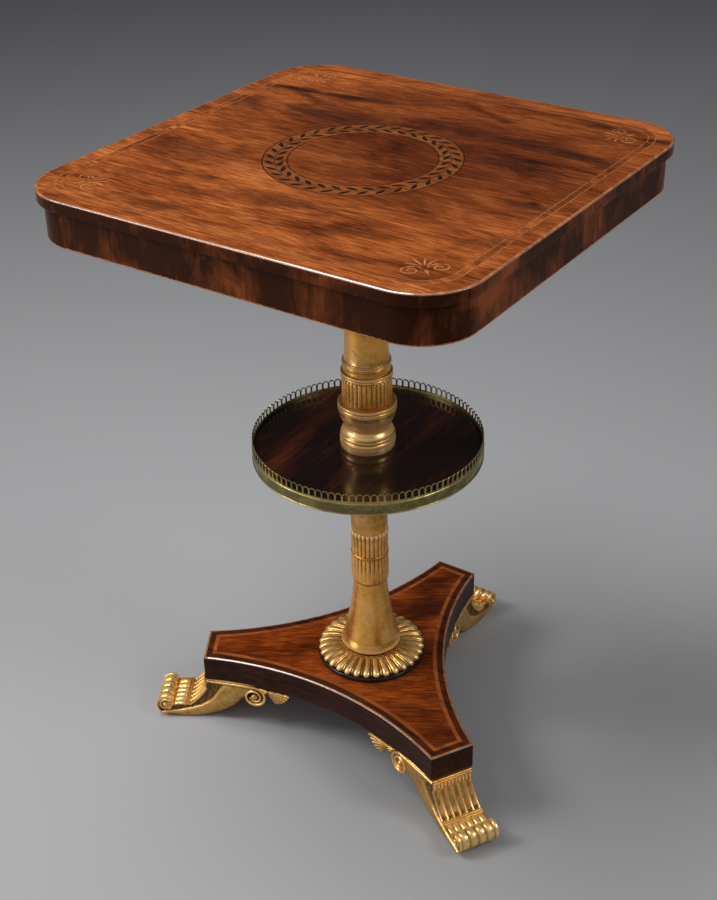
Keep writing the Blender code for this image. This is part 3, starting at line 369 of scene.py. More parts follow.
class FinishNodes:
    """Builds the nodes of one finish on a Principled shader."""

    def __init__(self, name):
        self.material = bpy.data.materials.new(name)
        self.material.use_nodes = True
        self.tree = self.material.node_tree
        self.shader = self.tree.nodes["Principled BSDF"]
        self.place = self.node("ShaderNodeTexCoord").outputs["Object"]

    def put(self, socket, value):
        """Links a socket to another node's output, or gives it a plain value."""
        if isinstance(value, bpy.types.NodeSocket):
            self.tree.links.new(value, socket)
        else:
            socket.default_value = value

    def node(self, kind, **settings):
        """A node with its settings; those called in_ and a number go to its sockets."""
        made = self.tree.nodes.new(kind)
        for key, value in settings.items():
            if key.startswith("in_"):
                self.put(made.inputs[int(key[3:])], value)
            else:
                setattr(made, key, value)
        return made

    def mapped(self, scale=(1.0, 1.0, 1.0), turn=0.0, shift=(0.0, 0.0, 0.0)):
        """Object coordinates stretched, turned about Z in degrees and moved."""
        return self.node("ShaderNodeMapping", in_0=self.place, in_1=shift, in_2=(0.0, 0.0, math.radians(turn)),
                         in_3=scale).outputs[0]

    def noise(self, where, scale, detail=4.0, rough=0.55, twist=0.0):
        """Noise from 0 to 1."""
        made = self.node("ShaderNodeTexNoise")
        for socket, value in (("Vector", where), ("Scale", scale), ("Detail", detail), ("Roughness", rough),
                              ("Distortion", twist)):
            self.put(made.inputs[socket], value)
        return made.outputs["Fac"]

    def ramp(self, value, *stops):
        """A colour ramp with (place, colour) stops."""
        made = self.node("ShaderNodeValToRGB", in_0=value)
        points = made.color_ramp.elements
        while len(points) < len(stops):
            points.new(0.5)
        for point, (place, shown) in zip(points, stops):
            point.position = place
            point.color = (*shown, 1.0)
        return made.outputs[0]

    def grey(self, value, low, high, start=0.0, end=1.0):
        """Carries a value from a range onto another range, held at its ends."""
        made = self.node("ShaderNodeMapRange", in_0=value, in_1=low, in_2=high, in_3=start, in_4=end)
        return made.outputs[0]

    def calc(self, operation, first, second):
        """Arithmetic on two values."""
        return self.node("ShaderNodeMath", operation=operation, in_0=first, in_1=second).outputs[0]

    def add(self, first, second):
        """The sum of two values."""
        return self.calc("ADD", first, second)

    def times(self, first, second):
        """The product of two values."""
        return self.calc("MULTIPLY", first, second)

    def weighed(self, *parts):
        """The sum of some values, each times its weight."""
        total, *rest = [self.times(value, weight) for value, weight in parts]
        for part in rest:
            total = self.add(total, part)
        return total

    def mix(self, share, first, second, blend="MIX"):
        """Mixes two colours."""
        made = self.node("ShaderNodeMix", data_type="RGBA", blend_type=blend)
        for index, value in ((0, share), (6, first), (7, second)):
            self.put(made.inputs[index], (*value, 1.0) if isinstance(value, tuple) else value)
        return made.outputs[2]

    def far(self, where):
        """Distance from the middle of some coordinates."""
        return self.node("ShaderNodeVectorMath", operation="LENGTH", in_0=where).outputs[1]

    def hollow(self):
        """The mark that the piece carries on its points: above 0 for dirt, painted shade and the frieze's worn edge,
        below 0 where gilt is rubbed pale, partly as a painted highlight.
        """
        return self.node("ShaderNodeAttribute", attribute_name="hollow").outputs["Fac"]

    def bump(self, height, strength, distance):
        """A bump of the surface."""
        made = self.node("ShaderNodeBump")
        for socket, value in (("Strength", strength), ("Distance", distance), ("Height", height)):
            self.put(made.inputs[socket], value)
        self.put(self.shader.inputs["Normal"], made.outputs[0])

    def finish(self, **sockets):
        """Sets or links the shader's sockets and returns the finish."""
        for key, value in sockets.items():
            self.put(self.shader.inputs[key.replace("_", " ")], value)
        return self.material


def shade(base, share):
    """A colour made darker or brighter by a share."""
    return tuple(share * c for c in base)


def tone(name):
    """A colour of the table as a tuple."""
    return tuple(getattr(bpy.context.scene.table_colours, name))


def finish_named(name, make, *options):
    """The finish of that name, made the first time it is asked for."""
    return bpy.data.materials.get(name) or make(name, *options)


# Knots as (x, y, half length, half width, lean in degrees, share).
TOP_KNOTS = ((-0.185, 0.141, 0.085, 0.0125, 4.0, 0.95), (-0.125, 0.147, 0.060, 0.0095, 6.0, 0.95),
             (-0.217, 0.070, 0.060, 0.024, 0.0, 0.55), (-0.109, 0.086, 0.110, 0.024, 3.0, 0.65),
             (-0.150, -0.080, 0.070, 0.024, 2.0, 0.55), (-0.115, -0.220, 0.065, 0.015, 0.0, 0.55),
             (0.000, -0.150, 0.085, 0.022, 3.0, 0.5), (0.030, 0.115, 0.110, 0.016, 0.0, 0.6),
             (0.165, 0.108, 0.110, 0.018, -3.0, 0.75), (0.135, 0.048, 0.090, 0.022, 3.0, 0.6),
             (0.070, 0.162, 0.015, 0.007, 0.0, 0.9), (0.197, -0.037, 0.034, 0.010, 3.0, 0.6),
             (0.209, -0.030, 0.010, 0.006, 0.0, 0.8), (0.204, -0.142, 0.024, 0.012, 15.0, 0.6),
             (0.165, 0.200, 0.045, 0.012, 4.0, 0.75), (0.233, 0.190, 0.026, 0.007, 8.0, 0.95))
# The platform's patches, in the same form, are painted shadow of the top on the right arm and behind the column.
PLATFORM_SHADOW_PATCHES = ((0.140, -0.092, 0.105, 0.060, -30.0, 0.5), (0.008, 0.100, 0.100, 0.050, 90.0, 0.75),
                  (0.040, -0.060, 0.070, 0.040, -30.0, 0.3), (0.055, 0.020, 0.060, 0.045, -60.0, 0.6))
VENEER_POLISH = 0.26
SHELF_GRAIN = -14.0
HEART_SHIFT = (-0.04, -0.065, -0.743)


def rosewood(name, turn, depth, shift, heart, knots, tint):
    """Streaked rosewood: broad noise drawn out along the grain, finer streaks and short flecks pick the
    tone, a slower noise tints it with dark clouds, the flecks darken it and fine noise draws the pores. heart
    sets how far a dark heart shows behind the middle of the veneer, and with a heart the veneer also gets a
    painted shade that darkens it towards the front and leaves it full towards the back. Each knot (x, y, half
    length, half width, lean, share) is a soft dark ellipse; the platform's patches in the same form are painted
    shadow. The grain runs along X, turned."""
    f = FinishNodes(name)
    drawn = f.mapped(turn=turn, shift=(shift, 0.3 * shift, 0.0))

    def figure(along, across, *settings):
        """Noise drawn out along the grain."""
        scale = (along, across, across)
        return f.noise(f.node("ShaderNodeMapping", in_0=drawn, in_3=scale).outputs[0], *settings)

    def tinted(tone_name, share=1.0):
        """A colour of the veneer with this piece's tint."""
        return tuple(share * c * t for c, t in zip(tone(tone_name), tint))

    broad = figure(5.0, 13.0, 1.6, 6.0, 0.62, 1.0)
    streaks = figure(10.0, 120.0, 1.6, 4.0, 0.6, 0.6)
    flecks = figure(24.0, 480.0, 1.5, 4.0, 0.68, 0.4)
    clouds = figure(4.2, 10.0, 1.3, 5.0, 0.6, 1.2)
    pores = figure(42.0, 560.0, 1.5, 2.0, 0.5)
    blend = f.weighed((broad, 0.46), (streaks, 0.22), (flecks, 0.32))
    wood = f.ramp(blend, (0.36, tinted("rosewood_deep")), (0.43, tinted("rosewood_mid", 0.55)),
                  (0.50, tinted("rosewood_mid")), (0.56, tinted("rosewood_light")),
                  (0.65, tinted("rosewood_bright")))
    if heart:
        spread = f.add(f.far(f.mapped((0.72, 1.0, 1.0), shift=HEART_SHIFT)), f.times(clouds, 0.26))
        wood = f.mix(f.grey(spread, 0.19, 0.35, heart, 0.0), wood, tone("heartwood"), "MULTIPLY")
        # Painted shade: the veneer is darkened towards the front of the top and left full towards the back.
        back = f.grey(f.node("ShaderNodeSeparateXYZ", in_0=f.place).outputs[1], -0.02, 0.23)
        wood = f.mix(1.0, wood, f.ramp(back, (0.0, (0.84, 0.84, 0.84)), (1.0, (1.0, 1.0, 1.0))), "MULTIPLY")
    wood = f.mix(f.grey(clouds, 0.50, 0.66, 0.0, 0.65 * depth), wood, tone("clouding"), "MULTIPLY")
    # A soft dark ellipse for each knot; on the platform these ellipses are painted shadow.
    for x, y, long, wide, lean, share in knots:
        lie = f.node("ShaderNodeMapping", vector_type="TEXTURE", in_0=f.place, in_1=(x, y, 0.0),
                     in_2=(0.0, 0.0, math.radians(lean)), in_3=(long, wide, 10.0)).outputs[0]
        away = f.add(f.far(lie), f.times(broad, 1.4))
        wood = f.mix(f.grey(away, 0.9, 1.75, share, 0.0), wood, tone("knots"))
    wood = f.mix(1.0, wood, f.ramp(flecks, (0.37, (0.56, 0.51, 0.48)), (0.60, (1.0, 1.0, 1.0))), "MULTIPLY")
    wood = f.mix(f.grey(pores, 0.53, 0.72, 0.0, 0.5), wood, tinted("rosewood_mid", 0.35))
    f.bump(pores, 0.05, 0.0003)
    return f.finish(Base_Color=wood, Roughness=f.grey(pores, 0.35, 0.75, VENEER_POLISH, VENEER_POLISH + 0.10),
                    Specular_IOR_Level=0.13)


def frieze_rosewood(name):
    """Dark rosewood with upright figure; an edge is worn and chipped to a paler red where its mark is high."""
    f = FinishNodes(name)
    broad = f.noise(f.mapped((9.0, 9.0, 4.5)), 1.7, 5.0, 0.6, 0.8)
    streaks = f.noise(f.mapped((120.0, 120.0, 22.0)), 1.5, 4.0, 0.6, 0.5)
    light = tone("frieze_light")
    wood = f.ramp(f.weighed((broad, 0.8), (streaks, 0.2)), (0.40, tone("frieze_dark")),
                  (0.48, shade(light, 0.15)), (0.56, shade(light, 0.42)), (0.66, light))
    chips = f.noise(f.mapped(), 260.0, 3.0, 0.6)
    worn = f.grey(f.add(f.hollow(), f.times(chips, 0.9)), 1.12, 1.36)
    wood = f.mix(worn, wood, tone("worn_edge"))
    f.bump(chips, 0.04, 0.0004)
    return f.finish(Base_Color=wood, Roughness=f.grey(worn, 0.0, 1.0, 0.24, 0.5), Specular_IOR_Level=0.07)


def shelf_rosewood(name):
    """Nearly black polished veneer with red figure drawn out along Y, strongest in a band near -X."""
    f = FinishNodes(name)
    broad = f.noise(f.mapped((17.0, 4.0, 17.0), SHELF_GRAIN), 1.8, 5.0, 0.62, 0.7)
    fine = f.noise(f.mapped((170.0, 8.0, 170.0), SHELF_GRAIN), 1.5, 3.0, 0.6, 0.2)
    across = f.node("ShaderNodeSeparateXYZ", in_0=f.mapped(turn=SHELF_GRAIN)).outputs[0]
    band = f.grey(f.calc("ABSOLUTE", f.add(across, 0.088), 0.0), 0.006, 0.034, 0.15, 0.0)
    red = tone("shelf_red")
    wood = f.ramp(f.add(f.weighed((broad, 0.7), (fine, 0.3)), band), (0.50, tone("shelf_black")),
                  (0.62, shade(red, 0.35)), (0.78, red))
    return f.finish(Base_Color=wood, Roughness=f.grey(fine, 0.3, 0.7, 0.10, 0.16), Specular_IOR_Level=0.42)


def plain_wood(name, base, turn=0.0, rough=0.55, contrast=0.5, sheen=0.3, polish=0.0):
    """Straight-grained wood: fine noise drawn out along the grain darkens the colour."""
    f = FinishNodes(name)
    grain = f.noise(f.mapped((6.0, 110.0, 110.0), turn), 1.5, 4.0, 0.6, 0.3)
    clouds = f.noise(f.mapped(), 45.0, 3.0, 0.5)
    dark = shade(base, 1 - contrast)
    wood = f.mix(f.grey(clouds, 0.45, 0.75, 0.0, 0.45), f.ramp(grain, (0.35, dark), (0.62, base)), dark)
    return f.finish(Base_Color=wood, Roughness=f.grey(grain, 0.3, 0.7, rough, rough + 0.12),
                    Specular_IOR_Level=sheen, Coat_Weight=polish, Coat_Roughness=0.12, Coat_IOR=2.0)


def gilding(name, gold, pale, matt):
    """Old gilding: burnished gold, worn to red clay in patches. Dirt and painted shade lie where the piece's mark is
    above 0, and the gold is rubbed pale, partly real wear and partly a painted highlight, and a little duller where
    it is below 0; matt is how far the rubbing takes the metal's shine away."""
    f = FinishNodes(name)
    plain = f.mapped()
    cloud = f.noise(plain, 42.0, 5.0, 0.62, 0.3)
    speck = f.noise(plain, 190.0, 4.0, 0.65)
    fine = f.noise(plain, 900.0, 2.0, 0.5)
    rubbed = f.grey(f.hollow(), 0.0, -1.0)
    bare = f.grey(f.weighed((cloud, 0.45), (speck, 0.55)), 0.57, 0.68)
    # Painted shade and dirt: where the mark is above 0 the gilt goes towards the grime colour.
    shade_and_dirt = f.times(f.hollow(), f.grey(speck, 0.30, 0.70, 0.62, 1.15))
    shade_and_dirt = f.grey(shade_and_dirt, 0.12, 0.85, 0.0, 0.92)
    leaf = f.ramp(cloud, (0.30, shade(gold, 0.62)), (0.52, gold), (0.95, pale))
    # Rubbed pale where the mark is below 0: partly worn gilt, partly a painted highlight.
    leaf = f.mix(f.times(rubbed, 0.75), leaf, pale)
    leaf = f.mix(f.times(bare, 0.7), leaf, tone("bole"))
    leaf = f.mix(shade_and_dirt, leaf, tone("grime_and_shade"))
    shine = f.times(f.grey(bare, 0.0, 1.0, 0.93, 0.4), f.grey(shade_and_dirt, 0.0, 1.0, 1.0, 0.35))
    shine = f.times(shine, f.grey(rubbed, 0.0, 1.0, 1.0, 1.0 - matt))
    dull = f.add(f.add(speck, shade_and_dirt), f.times(rubbed, 0.08))
    f.bump(fine, 0.10, 0.0004)
    return f.finish(Base_Color=leaf, Metallic=shine, Roughness=f.grey(dull, 0.3, 1.3, 0.22, 0.62))


def old_brass(name, bright=1.0):
    """Olive old brass, tarnished in patches, and darkened as painted shade in the marked hollows."""
    f = FinishNodes(name)
    plain = f.mapped()
    cloud = f.noise(plain, 60.0, 4.0, 0.6)
    fine = f.noise(plain, 700.0, 2.0, 0.5)
    share = f.add(f.grey(cloud, 0.42, 0.68, 0.0, 0.7), f.times(f.hollow(), 0.8))
    metal = f.mix(f.grey(share, 0.0, 1.0), shade(tone("brass"), bright), shade(tone("brass_tarnish_and_shade"), bright))
    f.bump(fine, 0.06, 0.0003)
    return f.finish(Base_Color=metal, Metallic=0.85, Roughness=f.grey(cloud, 0.3, 0.7, 0.24, 0.40))


def ebonised(name):
    """Black polished wood with a faint grain."""
    f = FinishNodes(name)
    grain = f.noise(f.mapped((20.0, 160.0, 160.0)), 1.5, 3.0, 0.6)
    wood = f.ramp(grain, (0.35, shade(tone("ebony"), 0.5)), (0.7, shade(tone("ebony"), 1.9)))
    return f.finish(Base_Color=wood, Roughness=f.grey(grain, 0.3, 0.7, 0.22, 0.34))


def iron(name):
    """Dull grey iron with a mottled surface."""
    f = FinishNodes(name)
    mottle = f.noise(f.mapped(), 500.0, 4.0, 0.6)
    metal = f.ramp(mottle, (0.35, shade(tone("iron"), 0.5)), (0.65, tone("iron")))
    return f.finish(Base_Color=metal, Metallic=0.9, Roughness=f.grey(mottle, 0.3, 0.7, 0.4, 0.6))


def gilt_finish():
    """Gilding of the two column lengths."""
    return finish_named("old_gilding", gilding, tone("gold"), tone("gold_rubbed_and_highlit"), 0.95)


def carved_finish():
    """Gilding of the collar and the feet."""
    return finish_named("carved_gilding", gilding, tone("carved_gold"), tone("carved_rubbed_and_highlit"), 0.45)


def boxwood_finish():
    """Wood of the light lines in the top."""
    return finish_named("boxwood_line", plain_wood, shade(tone("boxwood"), 0.6), 0.0, 0.3, 0.6)


def rubbed_finish():
    """Paler wood on the rubbed edges of the top and the platform."""
    return finish_named("rubbed_edge", plain_wood, tone("worn_edge"), 0.0, 0.2, 0.5, 0.5, 1.0)


def mahogany_finish():
    """Plain wood of the pieces inside."""
    return finish_named("mahogany_carcass", plain_wood, tone("mahogany"))


def eased_edge(wide, drop):
    """Profile of an eased edge as (inset, drop) pairs from the side up to the face."""
    return eased([(0.0, drop + EDGE_LIP), (0.0, drop), (wide, 0.0), (wide + EDGE_LIP, 0.0)], 0.28 * MM)


def edged_band(line, edge, face, bed, wide, lap):
    """A border veneer, flat to its eased edge, with a lip that laps down the side. line gives the outline at
    an inset and a height."""
    lip = face - edge[0, 1]
    flat = [(edge[-1, 0], face), (wide, face), (wide, bed), (lap, bed), (lap, lip), (0.0, lip)]
    shell = Shell()
    for finish, profile in enumerate((flat, np.column_stack([edge[:, 0], face - edge[:, 1]]))):
        shell.grid(np.stack([line(i, z) for i, z in profile]), around=True, finish=finish)
    return shell


def inlay_strips(shell, paths, half_widths, low, high):
    """Flat strips let into the face: each path's points are spread sideways by its half widths.
    paths is copies by points by 2, and half_widths the same without the last index."""
    side = directions(paths)[1] * half_widths[..., None]
    left, right = paths + side, paths - side

    def at(points, height):
        """Flat points at a height."""
        return np.concatenate([points, np.full(points.shape[:2] + (1,), height)], axis=-1)

    shell.grid(np.stack([at(left, low), at(left, high), at(right, high), at(right, low)], axis=2), around=True)


class TABLE_OT_top(bpy.types.Operator):
    """Makes the veneered top: slab, crossband, light lines, field, wreath and corner ornaments"""

    bl_idname = "table.top"
    bl_label = "Top"

    veneer_drop = 0.06 * MM
    board_gap = 0.2 * MM
    lower_round = 1.3 * MM
    lap = 1.02 * MM
    veneer_tint = (1.20, 1.18, 1.30)
    leaf_length = 16.0 * MM
    leaf_half = 2.45 * MM
    leaf_bow = 1.6 * MM
    leaf_lean = 37.0
    leaf_stagger = 0.8
    leaf_steps = 9
    stem_half = 1.2 * MM
    ornament_place = 197 * MM

    def execute(self, context):
        s = context.scene.table_sizes
        self.face = level("top_crossband", 1)
        self.bed = level("top_board", 1)
        self.veneer_face = self.face - self.veneer_drop

        def line(inset, height):
            """The top's outline, set in, at a height."""
            return square_line(TOP_HALF - inset, s.top_corner - inset, height)

        field, border, band = (
            finish_named(f"rosewood_{place}", rosewood, 0.0, depth, shift, heart, TOP_KNOTS, self.veneer_tint)
            for place, depth, shift, heart in (("field", 1.0, 0.0, 1.0), ("border", 0.9, 0.02, 0.85),
                                               ("crossband", 1.0, 1.9, 0.75)))
        self.slab(line, self.veneer_face - s.arris_drop - EDGE_LIP)
        edge = eased_edge(s.arris, s.arris_drop)
        shell = edged_band(line, edge, self.veneer_face, self.bed, s.crossband, self.lap)
        add_piece(shell, "polished_crossband", "rosewood", [band, rubbed_finish()], ["top_crossband"])
        rings = [lambda z, i=i: line(i, z) for i in np.cumsum([s.crossband, s.string, s.border, s.string])]
        rings.append(lambda z: circle_line(s.wreath_outer, z))
        plates = (("light_line_outer", "boxwood", boxwood_finish(), "top_stringing_outer"),
                  ("polished_border", "rosewood", border, "top_border_band"),
                  ("light_line_inner", "boxwood", boxwood_finish(), "top_stringing_inner"),
                  ("polished_field", "rosewood", field, "top_field"))
        for (name, slot, finish, node), outer, inner in zip(plates, rings, rings[1:]):
            shell = plate_between(Shell(), outer, inner, self.bed, self.veneer_face)
            add_piece(shell, name, slot, [finish], [node])
        self.wreath(s, field)
        self.ornaments()
        return {"FINISHED"}

    def slab(self, line, lip):
        """The board: a round lower edge and an upright side up to the crossband's lip, which laps over it."""
        finish = finish_named("rosewood_frieze", frieze_rosewood)
        low, high = level("top_board", 0), self.bed - self.board_gap
        a = np.linspace(0, math.pi / 2, 6)
        insets = np.concatenate([self.lower_round * (1 - np.sin(a)), [0.0, self.lap, self.lap]])
        heights = np.concatenate([low + self.lower_round * (1 - np.cos(a)), [lip, lip, high]])
        rows = [line(i, z) for i, z in zip(insets, heights)]
        shell = Shell().grid(np.stack([centre_line(low), rows[0]]), around=True, finish=1)
        shell.grid(np.stack([*rows, centre_line(high)]), around=True)
        add_piece(shell, "top_slab", "rosewood", [finish, mahogany_finish()], ["top_board"])

    def wreath(self, s, field):
        """The ring of paired leaves on a paler ground, between dark lines, and the round field inside."""
        ground = finish_named("wreath_ground", plain_wood, tone("wreath_ground"), 0.0, 0.26, 0.6, 0.12)
        dark = finish_named("wreath_leaf", plain_wood, tone("wreath_leaf"), 0.0, 0.26, 0.4, 0.12)
        outer, inner, low, high = s.wreath_outer, s.wreath_inner, self.bed, self.veneer_face
        shell = round_plate(Shell(), outer, inner, low, high)
        add_piece(shell, "wreath_ground", "boxwood", [ground], ["wreath_band"])
        rows = [centre_line(low), circle_line(inner, low), circle_line(inner, high), centre_line(high)]
        shell = Shell().grid(np.stack(rows), around=True)
        add_piece(shell, "polished_centre", "rosewood", [field], ["top_centre"])
        shell = Shell()
        stem = 0.5 * (outer + inner)
        for radius, width in ((outer, 1.3 * MM), (stem + 0.4 * MM, 0.8 * MM), (inner + 1.2 * MM, 1.2 * MM)):
            round_plate(shell, radius, radius - width, low, self.face - HAIR)
        self.leaves(shell, s.wreath_pairs, stem)
        add_piece(shell, "wreath_leaves", "rosewood_dark", [dark])

    def leaves(self, shell, pairs, stem):
        """Leaves in pairs that lean off the stem clockwise: half width = widest * sin(pi u)^0.8, along
        a midrib that bows back towards the stem by bow * u^2."""
        a = np.repeat(evenly(pairs), 2)
        side = np.tile([1.0, -1.0], pairs)
        a = a + (side < 0) * math.pi / pairs * self.leaf_stagger
        lean = np.radians(self.leaf_lean) * side
        forward = np.stack([np.sin(a), -np.cos(a)], axis=-1)
        outward = unit(a)
        rib = forward * np.cos(lean)[:, None] + outward * np.sin(lean)[:, None]
        u = np.linspace(0, 1, self.leaf_steps)
        base = outward * (stem + side * self.stem_half)[:, None]
        paths = base[:, None] + rib[:, None] * (u * self.leaf_length)[None, :, None] \
            - (outward * side[:, None])[:, None] * (u ** 2 * self.leaf_bow)[None, :, None]
        widths = np.broadcast_to(self.leaf_half * np.sin(np.pi * u) ** 0.8, paths.shape[:2])
        inlay_strips(shell, paths, widths, self.bed, self.face)

    def ornaments(self):
        """An anthemion in each corner: a fan of petals, two scrolls that curl outwards and a drop,
        drawn with thin light lines; u points to the table's middle and v sideways."""
        u = np.linspace(0, 1, 12)
        petals = np.radians(np.linspace(-66, 66, 6))
        length = (13.0 + 4.0 * np.cos(petals)) * MM
        ray = unit(petals)
        bow = np.stack([-np.sin(petals), np.cos(petals)], axis=-1) * np.sin(petals)[:, None]
        petal_paths = ray[:, None] * (4 * MM + u[None, :] * length[:, None])[..., None] \
            + bow[:, None] * (u ** 2 * 5 * MM)[None, :, None]
        petal_widths = np.broadcast_to(0.2 * MM + 1.0 * MM * np.sin(np.pi * u) * u ** 0.5, petal_paths.shape[:2])
        t = np.linspace(0, 1, 48)
        turn = np.radians(165 - 520 * t)
        radius = (11.0 - 8.6 * t) * MM
        curl = np.stack([-3.5 * MM + radius * np.sin(turn) * 0.85, 13.5 * MM + radius * np.cos(turn)], axis=-1)
        scrolls = np.stack([curl, curl * [1, -1]])
        scroll_widths = np.broadcast_to((0.75 - 0.2 * t) * MM, scrolls.shape[:2])
        drop = np.stack([-(5 + 12 * u) * MM, 0 * u], axis=-1)[None]
        drop_widths = (0.2 + 2.4 * np.sin(np.pi * u ** 0.7) * (1 - u))[None] * MM
        shell = Shell()
        for quarter in range(4):
            corner_angle = math.radians(45 + 90 * quarter)
            place = unit(corner_angle) * math.sqrt(2) * self.ornament_place
            axes = np.array([unit(corner_angle + math.pi), unit(corner_angle + 1.5 * math.pi)])
            for paths, widths in ((petal_paths, petal_widths), (scrolls, scroll_widths), (drop, drop_widths)):
                inlay_strips(shell, place + paths @ axes, np.array(widths), self.bed, self.face)
        pale = finish_named("ornament_line", plain_wood, shade(tone("boxwood"), 0.78), 0.0, 0.28, 0.6, 0.1)
        add_piece(shell, "corner_ornaments", "boxwood", [pale])


class TABLE_OT_frieze(bpy.types.Operator):
    """Makes the veneer round the frieze, with its worn lower edge"""

    bl_idname = "table.frieze"
    bl_label = "Frieze"

    arris = 0.9 * MM
    worn_height = 2.0 * MM

    def execute(self, context):
        low, high = levels("frieze_veneer")
        corner = context.scene.table_sizes.top_corner - (TOP_HALF - FRIEZE_HALF)
        a = np.linspace(0, math.pi / 2, 5)
        inset = np.concatenate([[1.0], self.arris / MM * (1 - np.sin(a)), [0, 0, 0, 1.0]]) * MM
        height = np.concatenate([[low], low + self.arris * (1 - np.cos(a)),
                                 [low + self.worn_height, low + 3 * self.worn_height, high, high]])
        worn = np.concatenate([[1.0], np.full(5, 1.0), [0.6, 0.0, 0.0, 0.0]])
        rows = [square_line(FRIEZE_HALF - i, corner - i, z) for i, z in zip(inset, height)]
        shell = Shell().grid(np.stack(rows), around=True, ring=True, hollow=worn[:, None])
        add_piece(shell, "polished_frieze", "rosewood", [finish_named("rosewood_frieze", frieze_rosewood)],
                  ["frieze_veneer"])
        return {"FINISHED"}


def lobes(shares, count):
    """Place within each of count equal lobes, from -0.5 to 0.5, at shares of the way across or round them."""
    return (shares * count) % 1.0 - 0.5


def rounded_ends(z, low, high, blend):
    """1 inside a length and falling to 0 at both ends along quarter circles of length blend."""
    over = np.maximum((low + blend - z) / blend, (z - high + blend) / blend)
    return dome(np.clip(over, 0.0, 1.0))


